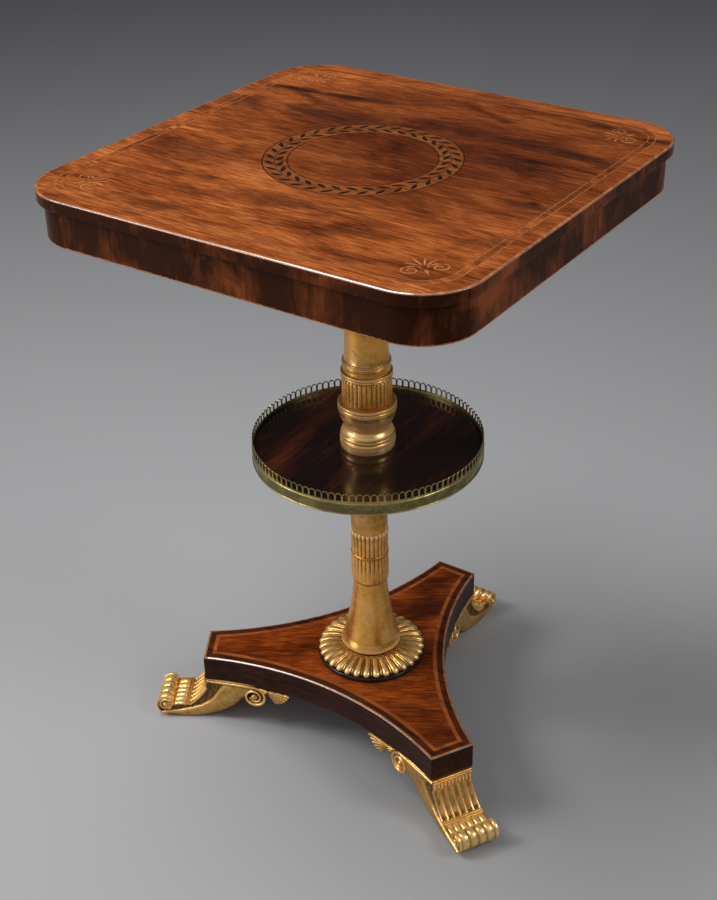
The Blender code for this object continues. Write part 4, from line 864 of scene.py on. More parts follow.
class TABLE_OT_columns(bpy.types.Operator):
    """Turns and carves the two gilt column lengths, the gadrooned collar and the black plinth"""

    bl_idname = "table.columns"
    bl_label = "Columns"

    reed_samples = 10
    reed_depth = 1.7 * MM
    flute_samples = 12
    tier_rows = 44
    flute_depth = 1.5 * MM
    gadroon_samples = 22
    gadroon_depth = 3.6 * MM

    def execute(self, context):
        s = context.scene.table_sizes
        self.upper(s.reeds)
        self.lower(s.flutes)
        self.collar(s.gadroons)
        self.plinth()
        return {"FINISHED"}

    def upper(self, reeds):
        """Base, cup, reeded drum, neck rings and tapering shaft. Each reed adds depth * half circle
        across it, falling away at both ends."""
        seat, top = levels("column_upper", MM)
        bearer = level("top_bearer", 0) / MM
        z = level("shelf_veneer", 1) / MM + 0.3
        base = eased([(12.3, seat), (SHELF_BORE / MM, seat), (SHELF_BORE / MM, z), (32.1, z + 5.0), (31.9, z + 9.4),
                      (30.9, z + 11.4), (29.7, z + 12.0), (31.4, z + 12.7), (31.6, z + 14.2), (31.5, z + 15.8),
                      (30.4, z + 16.6)], 0.8)
        shoulder = bezier([(30.7, z + 16.8), (29.9, z + 21.2), (26.6, z + 22.6), (26.2, z + 25.2)], 12)
        cup = bezier([(26.2, z + 25.4), (27.6, z + 32.0), (32.4, z + 37.5), (32.9, z + 45.0)], 14)
        lip = eased([(32.9, z + 45.2), (33.0, z + 46.4), (33.7, z + 47.2), (33.7, z + 51.6), (32.7, z + 52.2),
                     (33.6, z + 52.9), (33.5, z + 56.0), (31.4, z + 56.8), (27.0, z + 57.3)], 0.7)
        drum_low, drum_high = z + 58.0, z + 88.3
        drum = upright(26.9, drum_low, drum_high, 30)
        rings = eased([(26.6, z + 88.7), (28.8, z + 89.1), (29.7, z + 90.4), (29.7, z + 91.8), (29.0, z + 92.4),
                       (29.7, z + 93.0), (29.6, z + 95.2), (28.6, z + 96.0), (26.9, z + 96.4), (27.3, z + 97.4),
                       (26.7, z + 100.5), (27.5, z + 104.4), (26.6, z + 105.0), (28.0, z + 105.7), (27.9, z + 107.2),
                       (26.6, z + 107.7), (27.6, z + 108.2), (27.4, z + 109.4), (26.4, z + 109.8)], 0.5)
        neck = bezier([(26.3, z + 110.0), (25.6, z + 112.0), (25.3, z + 114.0), (25.0, z + 118.0)], 8)
        shaft = np.array([(24.4, z + 130.0), (23.2, z + 215.0), (22.0, bearer - 0.3), (16.0, bearer - 0.2),
                          (16.0, top), (0.0, top)])
        bore = np.array([(0.0, z + 24.6), (12.3, z + 24.6)])
        profile = np.concatenate([bore, base, shoulder, cup, lip, drum, rings, neck, shaft]) * MM
        columns = reeds * self.reed_samples
        across = lobes(np.arange(columns) / columns, reeds)
        height = profile[:, 1:] / MM
        inside = (height > drum_low - 0.1) & (height < drum_high + 0.1)
        tall = rounded_ends(height, drum_low, drum_high, 2.4)
        reed = dome(across * 2.06)[None] * tall
        groove = inside * (1 - reed)
        # Painted shade: dark lines in the grooves between the mouldings; the hollow mark also darkens the grooves
        # between the reeds.
        lines = np.array([12.0, 16.7, 52.2, 57.0, 88.5, 92.4, 96.4, 105.0, 107.7, 109.9]) + z
        dark = 0.85 * near(height, lines, 0.45).max(axis=1, keepdims=True)
        # Painted highlights: rings of the mouldings are painted pale, partly as rubbed gilt, and the cup and base are
        # painted pale as if lit.
        bright = np.array([5.0, 14.2, 20.0, 49.5, 54.5, 90.8, 94.2, 106.5, 108.8]) + z
        rubbed = 0.6 * near(height, bright, 2.2).max(axis=1, keepdims=True)
        rubbed = np.maximum(rubbed, 0.45 * smooth(z + 46, z + 40, height))
        hollow = np.maximum(0.8 * groove, dark) - rubbed * (1 - groove)
        points = turned(profile, columns, inside * self.reed_depth * reed)
        shell = Shell().grid(points, around=True, hollow=hollow)
        add_piece(shell, "gilt_column_upper", "gilt", [gilt_finish()], ["column_upper"], 50)

    def lower(self, flutes):
        """Trumpet foot, two carved tiers of tongues and a plain shaft; the trumpet's radius is
        neck + spread * (1 - t)^1.47 up its height."""
        low, seat = levels("column_lower", MM)
        lip = level("gadroon_collar", 1) / MM + 0.3
        shelf = level("shelf_board", 0) / MM
        t = np.linspace(0.10, 1, 38)
        flare = np.stack([20.5 + 14.9 * (1 - t) ** 1.47, lip + 4.4 + (92 - 4.4) * t], axis=1)
        roll = bezier([(31.6, lip), (37.2, lip + 0.2), (38.0, lip + 5.6), (35.4, lip + 8.8), flare[0]], 22)
        foot = np.concatenate([[(17.0, lip)], roll[:-1]])
        tier_low, ring_low = lip + 95.6, lip + 132.5
        tier_top = ring_low + 4.0 + 31.0
        groove = np.array([(20.3, lip + 93.0), (19.9, lip + 94.6)])
        tier = upright(20.7, tier_low, ring_low - 0.3, self.tier_rows)
        ring = eased([(20.9, ring_low), (22.5, ring_low + 0.3), (23.0, ring_low + 2.0), (22.5, ring_low + 3.6),
                      (20.9, ring_low + 4.0)], 0.5)
        upper = upright(20.7, ring_low + 4.3, tier_top, self.tier_rows)
        shaft = np.array([(21.5, tier_top + 0.3), (21.8, tier_top + 2.2), (21.8, tier_top + 12), (21.8, shelf - 0.3),
                          (12.0, shelf - 0.25), (12.0, seat), (0.0, seat)])
        tenon = np.array([(0.0, low), (17.0, low)])
        profile = np.concatenate([tenon, foot, flare, groove, tier, ring, upper, shaft]) * MM
        columns = flutes * self.flute_samples
        across = lobes(np.arange(columns) / columns, flutes)[None]
        z = profile[:, 1:] / MM
        tongue = dome(across * 2.12)
        in_upper = (z > ring_low + 4.2) & (z < tier_top + 0.1)
        in_lower = (z > tier_low - 0.1) & (z < ring_low - 0.2)
        tip = rounded_ends(z, ring_low + 4.3 - 6, tier_top + 0.2, 2.2)
        flare_out = 1.0 + 0.75 * smooth(tier_top - 9, tier_top - 2.2, z)
        upper_relief = in_upper * (tongue * self.flute_depth * flare_out) * tip
        rise = 0.12 + 0.88 * smooth(tier_low + 8, ring_low - 8, z)
        petal = rounded_ends(z, tier_low, ring_low + 8, 4.0)
        full = 1.45 + 0.25 * np.sin(np.clip((z - tier_low) / (ring_low - tier_low), 0, 1) * math.pi)
        lower_relief = in_lower * self.flute_depth * full * petal * (1 - (1 - tongue) * rise) * 0.72
        # Painted shade between the upper tongues near their tips; the mark below also shades between the lower
        # tongues.
        between = (1 - tongue) * smooth(tier_top - 0.4, tier_top - 3.0, z)
        # The tongues are rubbed pale, partly worn gilt and partly a painted highlight on their tips.
        rubbed = in_upper * tongue * smooth(tier_top - 6, tier_top - 2, z) + 0.2 * (in_upper | in_lower) * tongue
        # Painted shadow of the shelf on the shaft above the tiers, and the ring between the tiers painted duller.
        dull = 0.42 * smooth(tier_top + 1, tier_top + 6, z) + 0.30 * near(z, ring_low + 2.0, 2.2)
        # Painted highlight: the roll at the trumpet's foot is painted pale.
        polished = 0.5 * near(z, lip + 4.6, 3.2)
        hollow = in_upper * between * 0.95 + in_lower * (1 - tongue) * rise - rubbed + dull - polished
        # Painted shade: dark lines in the groove under the tiers and where the trumpet meets the collar.
        crease_shade = near(z, lip + 94.4, 0.9) + near(z, lip, 0.5)
        points, marks = turned(profile, columns, upper_relief + lower_relief), np.clip(hollow + crease_shade, -1, 1)
        bare = len(tenon)
        shell = Shell().grid(points[bare:], around=True, hollow=marks[bare:])
        shell.grid(points[:bare + 1], around=True, finish=1)
        add_piece(shell, "gilt_column_lower", "gilt", [gilt_finish(), mahogany_finish()], ["column_lower"], 50)

    def collar(self, gadroons):
        """Radial lobes over a flattened round: the core is an ellipse from the inner edge to the rim, and
        each lobe lifts it along its slope by depth * half circle, with a narrow dart between lobes."""
        low, high = levels("gadroon_collar", MM)
        inner, root, rim = 34.0, 37.0, 61.9
        t = np.radians(np.linspace(4, 118, 32))
        past = t > math.pi / 2
        r = root + (rim - root) * np.sin(np.minimum(t, math.pi / 2)) + 2.2 * (np.sin(t) - 1) * past
        base = low + 2.6
        z = base + np.where(past, 5.4, high - 2.9 - base) * np.cos(t)
        profile = np.stack([r, np.maximum(z, low)], axis=1)
        columns = gadroons * self.gadroon_samples
        a = evenly(columns)
        across = lobes(np.arange(columns) / columns, gadroons)[None]
        lobe = dome(across / 0.36)
        dart = 0.6 * dome((np.abs(across) - 0.5) / 0.07)
        swell = (0.62 + 0.38 * smooth(0.25, 1.35, t))[:, None]
        fade = np.where(t > math.radians(96), smooth(math.radians(118), math.radians(96), t), 1.0)[:, None]
        lift = np.maximum(lobe, dart) * swell * fade * self.gadroon_depth / MM
        slope = np.stack([np.sin(t), np.maximum(np.cos(t), -0.2)], axis=1)
        slope /= np.linalg.norm(slope, axis=1, keepdims=True)
        radius = profile[:, :1] + lift * slope[:, :1]
        height = np.minimum(profile[:, 1:] + lift * slope[:, 1:], high)
        x, y = radius * np.cos(a), radius * np.sin(a)
        face = np.stack([x, y, height + 0 * x], axis=-1)
        under = turned(np.array([(58.0, low), (inner, low), (inner, high - 1.0), (root, high - 1.6)]), columns)
        # Painted shade in the gaps between lobes and on the under faces; the lobes are rubbed pale, partly as a
        # painted highlight.
        lobe_gap_shade = 1 - np.maximum(lobe, dart / 0.6)
        rubbed = lobe ** 1.5 * smooth(0.0, 1.1, t)[:, None]
        hollow = np.concatenate([np.clip(1.5 * lobe_gap_shade, 0, 1) - rubbed, np.full((4, columns), 0.6)])
        shell = Shell().grid(np.concatenate([face, under]) * MM, around=True, ring=True, hollow=hollow)
        add_piece(shell, "gilt_collar", "gilt", [carved_finish()], ["gadroon_collar"], 60)

    def plinth(self):
        """A black ring with a rounded edge."""
        low, high = levels("ebonised_plinth")
        r = PLINTH_RADIUS
        profile = eased([(TENON_BORE, high), (r, high), (r, low), (TENON_BORE, low)], 1.6 * MM, 6)
        shell = Shell().grid(turned(profile, 160), around=True, ring=True)
        add_piece(shell, "black_plinth", "ebonised", [finish_named("ebonised_wood", ebonised)], ["ebonised_plinth"])


class TABLE_OT_shelf(bpy.types.Operator):
    """Makes the dark shelf with its brass band and pierced gallery"""

    bl_idname = "table.shelf"
    bl_label = "Shelf"

    segments = 288
    fret_wall = 1.1 * MM
    sill = 1.3 * MM
    arch_steps = 7

    def execute(self, context):
        self.boards()
        self.band()
        self.fret(context.scene.table_sizes)
        return {"FINISHED"}

    def boards(self):
        """The board, bored for the column's spigot, and the polished veneer fitted round the column's base."""
        dark = finish_named("rosewood_shelf", shelf_rosewood)
        for name, slot, finish, node, bore in (
                ("shelf_ground", "mahogany_ground", mahogany_finish(), "shelf_board", SPIGOT_BORE),
                ("polished_shelf", "rosewood_dark", dark, "shelf_veneer", SHELF_BORE)):
            profile = oblong(bore, SHELF_RADIUS, *levels(node))
            shell = Shell().grid(turned(profile, self.segments), around=True, ring=True)
            add_piece(shell, name, slot, [finish], [node])

    def band(self):
        """A brass strip with a bead along both edges and a lip under the board."""
        low, high = levels("gallery_band", MM)
        r = GALLERY_RADIUS / MM
        board = level("shelf_board", 0) / MM - 0.25
        profile = eased([(r - 7.0, low), (r - 0.7, low), (r, low + 0.5), (r, low + 1.5), (r - 0.7, low + 2.0),
                         (r - 0.6, high - 2.3), (r - 0.1, high - 2.0), (r, high - 0.6), (r - 0.5, high),
                         (r - 1.5, high), (r - 1.5, board), (r - 7.0, board)], 0.25, 3) * MM
        z = profile[:, 1:] / MM
        # Painted shade: dark lines in the creases where the beads meet the band.
        hollow = near(z, low + 2.1, 0.5) + near(z, high - 2.4, 0.5)
        shell = Shell().grid(turned(profile, self.segments), around=True, ring=True, hollow=hollow)
        add_piece(shell, "brass_band", "aged_brass", [finish_named("old_brass", old_brass)], ["gallery_band"])

    def fret(self, s):
        """A ring of round-headed arches on a sill: each arch is a strip between an outer and an inner
        line, both straight legs under a half circle, wrapped round the shelf."""
        low, high = levels("gallery_fret")
        outer_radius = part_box("gallery_fret")[1][0]
        pitch = 2 * math.pi * outer_radius / s.arches
        outer_half = 0.5 * pitch - HAIR
        inner_half = 0.5 * (pitch - s.arch_bar)
        spring = high - outer_half
        a = np.linspace(math.pi, 0, self.arch_steps)

        def line(half):
            """Straight legs under a half circle, as (sideways, height) places."""
            arc = np.stack([half * np.cos(a), spring + half * np.sin(a)], axis=1)
            return np.concatenate([[(-half, low)], arc, [(half, low)]])

        outer, inner = line(outer_half), line(inner_half)
        loops = np.stack([outer, outer, inner, inner], axis=1)
        depth = np.array([0.0, self.fret_wall, self.fret_wall, 0.0])
        radius = outer_radius - HAIR - depth
        turn = evenly(s.arches)[:, None, None] + loops[None, ..., 0] / outer_radius
        points = np.stack([radius * np.cos(turn), radius * np.sin(turn),
                           np.broadcast_to(loops[None, ..., 1], turn.shape)], axis=-1)
        # Painted shadow: the gallery's inner face and the reveals of the arches are darkened as the shadow of the
        # top.
        shell = Shell().grid(capped(points), around=True, hollow=[0.0, 1.0, 1.0, 0.6])
        sill = oblong(outer_radius - self.fret_wall, outer_radius, low, low + self.sill)
        shell.grid(turned(sill, self.segments), around=True, ring=True)
        finish = finish_named("rubbed_brass", old_brass, 0.9)
        add_piece(shell, "brass_gallery", "aged_brass", [finish], ["gallery_fret"], 50)


def edge_centre(s):
    """Centre of an arm's hollow edge as (reach, sideways): on the line 60 degrees from the arm."""
    distance = s.edge_radius + s.waist
    return distance * math.cos(math.radians(60)), distance * math.sin(math.radians(60))


def arm_half_width(reach, s):
    """Half the width of a platform arm at a reach, from the circle of its hollow edge."""
    x, y = edge_centre(s)
    return y - np.sqrt(s.edge_radius ** 2 - (reach - x) ** 2)


SIDE_STEPS = 48


def platform_side(s, arm, inset):
    """Points of the hollow side after an arm, set in by a distance: an arc about the edge's centre."""
    x, y = edge_centre(s)
    middle_angle = math.radians(arm + 60)
    centre = (s.edge_radius + s.waist) * unit(middle_angle)
    radius, reach = s.edge_radius + inset, PLATFORM_END - inset
    half = y - math.sqrt(radius ** 2 - (reach - x) ** 2)
    spread = math.atan2(half - y, reach - x) + math.radians(120)
    a = middle_angle + math.pi + spread * np.linspace(1, -1, SIDE_STEPS + 1)
    return centre + radius * unit(a)


def platform_line(s, inset, height):
    """The platform's whole outline at a height."""
    points = np.concatenate([platform_side(s, arm, inset) for arm in ARMS.values()])
    return np.column_stack([points, np.full(len(points), height)])


class TABLE_OT_platform(bpy.types.Operator):
    """Makes the hollow-sided platform: dark border, light line, field, sides and ends"""

    bl_idname = "table.platform"
    bl_label = "Platform"

    veneer = 1.0 * MM
    grain = 30.0
    field_tint = (1.05, 0.77, 0.47)

    def execute(self, context):
        s = context.scene.table_sizes
        bed, face = levels("platform_crossband")
        dark, border, light = (
            finish_named(f"platform_{part}", plain_wood, tone(f"platform_{part}"), self.grain, *look)
            for part, *look in (("dark", 0.32, 0.6, 0.1), ("border", 0.24, 0.6, 0.12), ("line", 0.3, 0.5, 0.15)))

        def line(inset, height):
            """The platform's outline, set in, at a height."""
            return platform_line(s, inset, height)

        edge = eased_edge(s.platform_arris, s.platform_arris_drop)
        outer, inner = s.platform_band, s.platform_band + s.platform_string
        shell = edged_band(line, edge, face, bed, outer, self.veneer)
        add_piece(shell, "platform_border", "rosewood_dark", [border, rubbed_finish()], ["platform_crossband"])
        shell = plate_between(Shell(), lambda z: line(outer, z), lambda z: line(inner, z), bed, face)
        add_piece(shell, "platform_light_line", "boxwood", [light], ["platform_stringing"])
        self.field(line(inner, 0.0), bed, face)
        self.sides(s, dark, face - edge[0, 1] - HAIR)
        return {"FINISHED"}

    def field(self, outer, bed, face):
        """The middle of the platform's face, with a round hole for the column's tenon."""
        finish = finish_named("platform_field", rosewood, -self.grain, 1.0, 5.3, 0.0, PLATFORM_SHADOW_PATCHES, self.field_tint)
        turn = np.arctan2(outer[:, 1], outer[:, 0])
        bore = np.column_stack([TENON_BORE * unit(turn), 0 * turn])
        shell = plate_between(Shell(), lambda z: outer + [0, 0, z], lambda z: bore + [0, 0, z], bed, face)
        add_piece(shell, "platform_field_veneer", "rosewood", [finish], ["platform_field"])

    def sides(self, s, dark, high):
        """A dark veneer on the three hollow sides and the three square ends, up to the border's lip."""
        low = level("platform_side_1", 0)
        for number, arm in enumerate(ARMS.values(), 1):
            outer, inner = platform_side(s, arm, 0.0), platform_side(s, arm, self.veneer)
            loop = np.stack([outer, outer, inner, inner], axis=1)
            z = np.broadcast_to([low, high, high, low], loop.shape[:2])[..., None]
            shell = Shell().grid(capped(np.concatenate([loop, z], axis=-1)), around=True)
            add_piece(shell, f"platform_side_veneer_{number}", "rosewood_dark", [dark], [f"platform_side_{number}"])
        half = arm_half_width(PLATFORM_END, s) - HAIR
        corners = oblong(PLATFORM_END - self.veneer, PLATFORM_END, -half, half)
        rows = np.stack([np.column_stack([corners, np.full(4, z)]) for z in (low, high)])
        for name, arm in ARMS.items():
            shell = Shell().grid(turn_points(capped(rows), arm), around=True)
            add_piece(shell, f"platform_end_veneer_{name}", "rosewood_dark", [dark], [f"platform_end_{name}"])


def about(centre, radii, degrees):
    """Points round a centre: centre + radius * (cos a, sin a)."""
    return centre + np.asarray(radii)[..., None] * unit(np.radians(degrees))


def turn_points(points, degrees):
    """Points turned about the column's axis."""
    a = math.radians(degrees)
    turn = np.array([[math.cos(a), math.sin(a), 0], [-math.sin(a), math.cos(a), 0], [0, 0, 1]])
    return points @ turn


# Kinds of carving down the front of a foot.
PLAIN, TIPS, COVE, RIDGES, PETALS, TOE = range(6)


class TABLE_OT_feet(bpy.types.Operator):
    """Carves the three gilt scroll feet with flutes, petals, beaded toe, volutes and leaves"""

    bl_idname = "table.feet"
    bl_label = "Feet"

    # Lengths of a foot are in millimetres.
    side_inset = 2.0
    front = 2.8
    instep = (24.6, 21.5)
    toe = (55.4, 20.0)
    toe_radius = 10.0
    toe_growth = 0.5
    volute = (62.0, 20.0)
    volute_radius = 15.0
    volute_turns = 1.75
    volute_eye = 4.2
    scroll_drop = 5.2
    sole_round = 3.6
    tongues = 11
    across_steps = 77
    side_steps = 52
    roll_steps = 64
    boss_steps = 40
    boss_root = 4.0
    # Root from the platform's end and the foot's top, first and last length, first and last angle, lobes.
    leaves = (((-77.0, -5.2), (32.5, 19.0), (174, 231), 6), ((-67.5, -3.6), (12.5, 9.5), (178, 222), 3))

    def execute(self, context):
        s = context.scene.table_sizes
        self.end = PLATFORM_END / MM
        self.top = FOOT_TOP / MM
        self.arm = lambda reach: arm_half_width(np.asarray(reach) * MM, s) / MM
        self.volute_at = np.array([self.end - self.volute[0], self.top - self.volute[1]])
        self.toe_at = np.array([self.end + self.toe[0], self.toe[1]])
        foot = Shell()
        self.body(foot, s)
        for side in (-1.0, 1.0):
            self.volute_face(foot, side)
            self.scroll(foot, side)
            self.toe_face(foot, side)
            for leaf in self.leaves:
                self.leaf(foot, side, *leaf)
        self.roll(foot)
        for name, arm in ARMS.items():
            carved = Shell()
            carved.quads, carved.hollows, carved.finishes = foot.quads, foot.hollows, foot.finishes
            carved.points = [turn_points(points * MM, arm) for points in foot.points]
            add_piece(carved, f"gilt_foot_{name}", "gilt", [carved_finish()], [f"foot_{name}"], 48)
        return {"FINISHED"}

    def half_width(self, reach):
        """Half the foot's width: even past the platform's end, and spreading evenly back to the volute."""
        end = self.arm(self.end) - self.side_inset
        back = self.arm(self.end - self.volute[0]) - self.side_inset
        return end + (back - end) / self.volute[0] * np.maximum(0.0, self.end - reach)

    def front_line(self):
        """The foot's upper line as (reach, height) with the kind of carving and the share along it, and
        the share of the sole's length that each place is ruled to."""
        front, back = self.end + self.front, self.end + self.front - 1.5
        z = self.top
        instep = np.array([self.end + self.instep[0], self.instep[1]])
        top = np.stack([np.linspace(self.volute_at[0] - 4, front - 0.7, 12), np.full(12, z)], axis=1)
        fillets = eased([(front - 0.6, z), (front, z - 0.6), (front, z - 2.9), (back, z - 3.4), (front, z - 3.9),
                         (front, z - 6.2), (back - 0.3, z - 6.9)], 0.35, 3)
        t = np.linspace(0, 1, 12)
        beads = np.stack([back + 0.2 + 0.9 * np.sin(np.pi * t), z - 7.0 - 8.8 * t], axis=1)
        start = np.array([back - 0.2, z - 16.0])
        cove = bezier([start, start + (instep - start) * [0.4, 0.62], instep], 30)
        t = np.linspace(0, 1, 19)
        ridges = np.stack([instep[0] + 0.2 + 6.4 * t, instep[1] + 1.5 * np.abs(np.sin(2 * np.pi * t)) ** 0.7], axis=1)
        t = np.linspace(0, 1, 20)
        crease = self.toe_at[0] - self.toe_radius + 0.9
        petals = np.stack([ridges[-1, 0] + 0.2 + (crease - ridges[-1, 0] - 0.2) * t,
                           instep[1] + 0.9 * np.sin(np.pi * t ** 0.8) - 1.6 * t ** 3], axis=1)
        t = np.linspace(0, 1, 44)
        roll = about(self.toe_at, self.toe_radius * (1 + self.toe_growth * t ** 3), 166 - 244 * t)
        parts = ((top, PLAIN, 0.0, 0.12), (fillets, PLAIN, 0.12, 0.17), (beads, TIPS, 0.17, 0.22),
                 (cove, COVE, 0.22, 0.62), (ridges, RIDGES, 0.62, 0.70), (petals, PETALS, 0.70, 0.86),
                 (roll, TOE, 0.86, 1.0))
        line = np.concatenate([part for part, *_ in parts])
        kind = np.concatenate([np.full(len(part), k) for part, k, *_ in parts])
        share = np.concatenate([np.linspace(0, 1, len(part)) for part, *_ in parts])
        ruled = np.concatenate([np.linspace(a, b, len(part)) for part, _, a, b in parts])
        return line, kind, share, ruled

    def sole_line(self, tip):
        """The sole from the volute down to the floor and along to the toe."""
        join = about(self.volute_at, self.volute_radius, -18)
        flat = self.end + self.instep[0] - 8
        rise = bezier([join, (self.end - 30.0, 15.9), (self.end - 4.4, 2.2), (flat, 0.0)], 40)
        toe = bezier([(flat + 16, 0.0), (flat + 24, 0.5), (flat + 34, 3.0), tip], 16)
        return np.concatenate([rise, toe])

    def carving(self, kind, share, x, s):
        """Relief of the front face in millimetres at a share along each part and a place x from 0 to 1
        across: leaf tips, flutes with round ends, round petals and beads on the toe."""
        g = lobes(x, s.foot_flutes)
        swell = 0.04 + 0.44 * dome(np.clip((share - 0.4) / 0.6, 0, 1))
        tips = 2.5 * dome(lobes(x, self.tongues) / swell) - 1.0
        reach = np.clip((np.abs(share - 0.5) - 0.37) / 0.13, 0, 1)
        flutes = -s.foot_flute_depth / MM * dome(g / 0.40) * dome(reach)
        petal_end = dome(np.clip((share - 0.72) / 0.28, 0, 1))
        petals = -1.9 * (1 - dome(2.02 * g) * (0.35 + 0.65 * petal_end))
        bead = lobes(np.clip((x - 0.075) / 0.85, 0, 1), s.toe_beads)
        collar = smooth(0.06, 0.075, x) * smooth(0.94, 0.925, x)
        beads = -2.2 * (1 - dome(2.0 * bead)) * collar * smooth(1.0, 0.82, share)
        at = {part: kind == part for part in (TIPS, COVE, RIDGES, PETALS, TOE)}
        relief = np.select([at[TIPS], at[COVE], at[PETALS], at[TOE]], [tips, flutes, petals, beads], 0.0)
        # Painted shade: dark gaps between the leaf tips, in the flutes and deeper at their lower ends, between petals
        # and between beads; the cross band is toned darker as its own duller colour.
        shade_and_dirt = np.select([at[TIPS], at[COVE], at[RIDGES], at[PETALS], at[TOE]],
                         [0.9 * (0.7 - tips), -flutes / 2.9 + 0.35 * smooth(0.8, 0.94, share), 0.34 + 0 * x,
                          -petals / 2.2, -beads / 2.0], 0.0)
        shade_and_dirt = np.clip(shade_and_dirt, 0, 1)
        # The carving is rubbed pale, partly worn gilt and partly a painted highlight.
        rub = np.select([at[COVE], at[RIDGES], kind != PLAIN], [0.5, 0.0, 0.75], 0.0)
        return relief, shade_and_dirt - rub * (1 - shade_and_dirt)

    def body(self, foot, s):
        """The foot's body as a tube of loops: each loop goes across the front, down one side, back along
        the sole and up the other side. A side is ruled from the front line to the sole line and sunk
        between the front tablet's edge and the raised rim of the sole's strap."""
        line, kind, share, ruled = self.front_line()
        sole = resampled(self.sole_line(line[-1]), ruled)
        out = directions(line)[1]
        x = np.linspace(0, 1, self.across_steps + 1)[None]
        relief, shade_and_dirt = self.carving(kind[:, None], share[:, None], x, s)
        relief[-1] = 0.0
        half = self.half_width(line[:, 0])[:, None]
        front = np.stack([line[:, :1] + relief * out[:, :1], (2 * x - 1) * half,
                          line[:, 1:] + relief * out[:, 1:]], axis=-1)
        half = (self.half_width(sole[:, 0]) - self.sole_round)[:, None]
        under = np.stack([sole[:, :1] + 0 * x, (2 * x - 1) * half, sole[:, 1:] + 0 * x], axis=-1)
        t = np.linspace(0, 1, self.side_steps + 1)[None, 1:-1] ** 1.45
        places = line[:, None] + (sole - line)[:, None] * t[..., None]
        sunk, side_shade_and_dirt = self.side_relief(places, np.linalg.norm(sole - line, axis=1)[:, None], t, s)
        lateral = self.half_width(places[..., 0]) - sunk
        right = np.stack([places[..., 0], lateral, places[..., 1]], axis=-1)
        left = right * [1, -1, 1]
        loops = np.concatenate([front, right, under[:, ::-1], left[:, ::-1]], axis=1)
        # The sole's under face is painted darker as shade.
        marks = np.concatenate([shade_and_dirt, side_shade_and_dirt, np.full(shade_and_dirt.shape, 0.3), side_shade_and_dirt[:, ::-1]], axis=1)
        cap = loops[:1].mean(axis=1, keepdims=True).repeat(loops.shape[1], axis=1)
        foot.grid(np.concatenate([cap, loops]), around=True, hollow=np.concatenate([marks[:1], marks]))

    def rim_line(self):
        """Line of the strap's raised rim on the foot's side, from under the platform round to the toe."""
        e = self.end
        return bezier([(e - 26, self.top - 7.5), (e - 9, 40), (e - 9, 19), (e + 16, 13.5), (e + 52, 7.5)], 60)

    def past_rim(self, places):
        """Distance of places from the rim line, above 0 on the tablet's side: the cross product of the
        rim's direction and the way from the nearest point of the rim."""
        rim = self.rim_line()
        way = places[:, :, None] - rim
        nearest = np.argmin((way ** 2).sum(axis=-1), axis=-1)
        way = np.take_along_axis(way, nearest[..., None, None], axis=2)[:, :, 0]
        along = directions(rim)[0][nearest]
        return along[..., 0] * way[..., 1] - along[..., 1] * way[..., 0]

    def side_relief(self, places, length, t, s):
        """How far the side is sunk and how much dirt and painted shade it carries: a channel with long strokes
        between the tablet's edge and the raised rim, a strap that rounds off towards the sole as a quarter ellipse,
        and a shallow bed behind the mouldings. The channel, the bed, the strap and its rounding are painted darker as
        shade, and the side is rubbed pale near the front."""
        d, e = t * length, length - t * length
        z = places[..., 1]
        beyond = self.past_rim(places)
        below = smooth(self.top - 7.5, self.top - 9.5, z)
        channel = smooth(2.4, 4.0, d) * smooth(0.2, 2.4, beyond) * below
        strokes = 0.5 + 0.5 * np.cos(2 * np.pi * (d + 0.9 * np.sin(0.35 * beyond)) / 4.4)
        bead = near(beyond, -0.8, 0.95) * smooth(self.top - 14, self.top - 24, z)
        wide = e + np.maximum(-beyond, 0.0)
        rounded = self.sole_round * (1 - dome(1 - np.clip(e / (0.8 * wide + 0.5), 0, 1)))
        bed = smooth(2.4, 3.2, d) * (1 - below)
        sunk = s.channel / MM * channel * (1 - 0.3 * strokes) - 0.5 * bead + rounded + 0.8 * bed
        # Painted shade: the strap on the flank is darkened, standing in for a darker reflection.
        strap = smooth(-0.8, -3.0, beyond) * below
        rubbed = 0.7 * smooth(2.2, 0.8, d)
        shade_and_dirt = channel * (1.3 - 0.45 * strokes) + 0.9 * bed + 0.46 * strap + 0.10 * rounded - rubbed
        return sunk, np.clip(shade_and_dirt, -1, 1)

    def roll(self, foot):
        """The roll behind the foot, round about the volute's centre, from one side face to the other. The end
        that it starts from is closed and the other is open."""
        ring = self.volute_at + self.volute_radius * unit(evenly(self.roll_steps))
        half = self.half_width(ring[:, 0]) - 1.2
        across = np.linspace(-1, 1, 9)[:, None]
        r, z = (ring[None, :, i] + 0 * across for i in (0, 1))
        points = np.stack([r, across * half, z], axis=-1)
        # The roll is painted darker all over, as dirt and shade under the platform.
        foot.grid(capped(points)[:-1], around=True, hollow=0.45)

    def boss(self, foot, side, centre, radii, lifts, marks):
        """A round boss on the foot's side: rings of points about a centre, each lifted off the side, closed
        by a point inside the foot."""
        radii, lifts = np.append(radii, 0.0)[:, None], np.append(lifts, -self.boss_root)[:, None]
        a = evenly(self.boss_steps)
        r, z = centre[0] + radii * np.cos(a), centre[1] + radii * np.sin(a)
        y = np.broadcast_to(side * (self.half_width(centre[0]) + lifts), r.shape)
        foot.grid(np.stack([r, y, z], axis=-1), around=True, hollow=np.append(marks, 0.5)[:, None])

    def volute_face(self, foot, side):
        """The round eye in the middle of the volute."""
        u = np.linspace(0, 1, 9)
        # The eye is painted darker towards its edge, as shade where it meets the side.
        self.boss(foot, side, self.volute_at, self.volute_eye * np.sin(u * np.pi / 2),
                  2.6 * np.cos(u * np.pi / 2) - 0.8 * u, 0.6 * u ** 3)

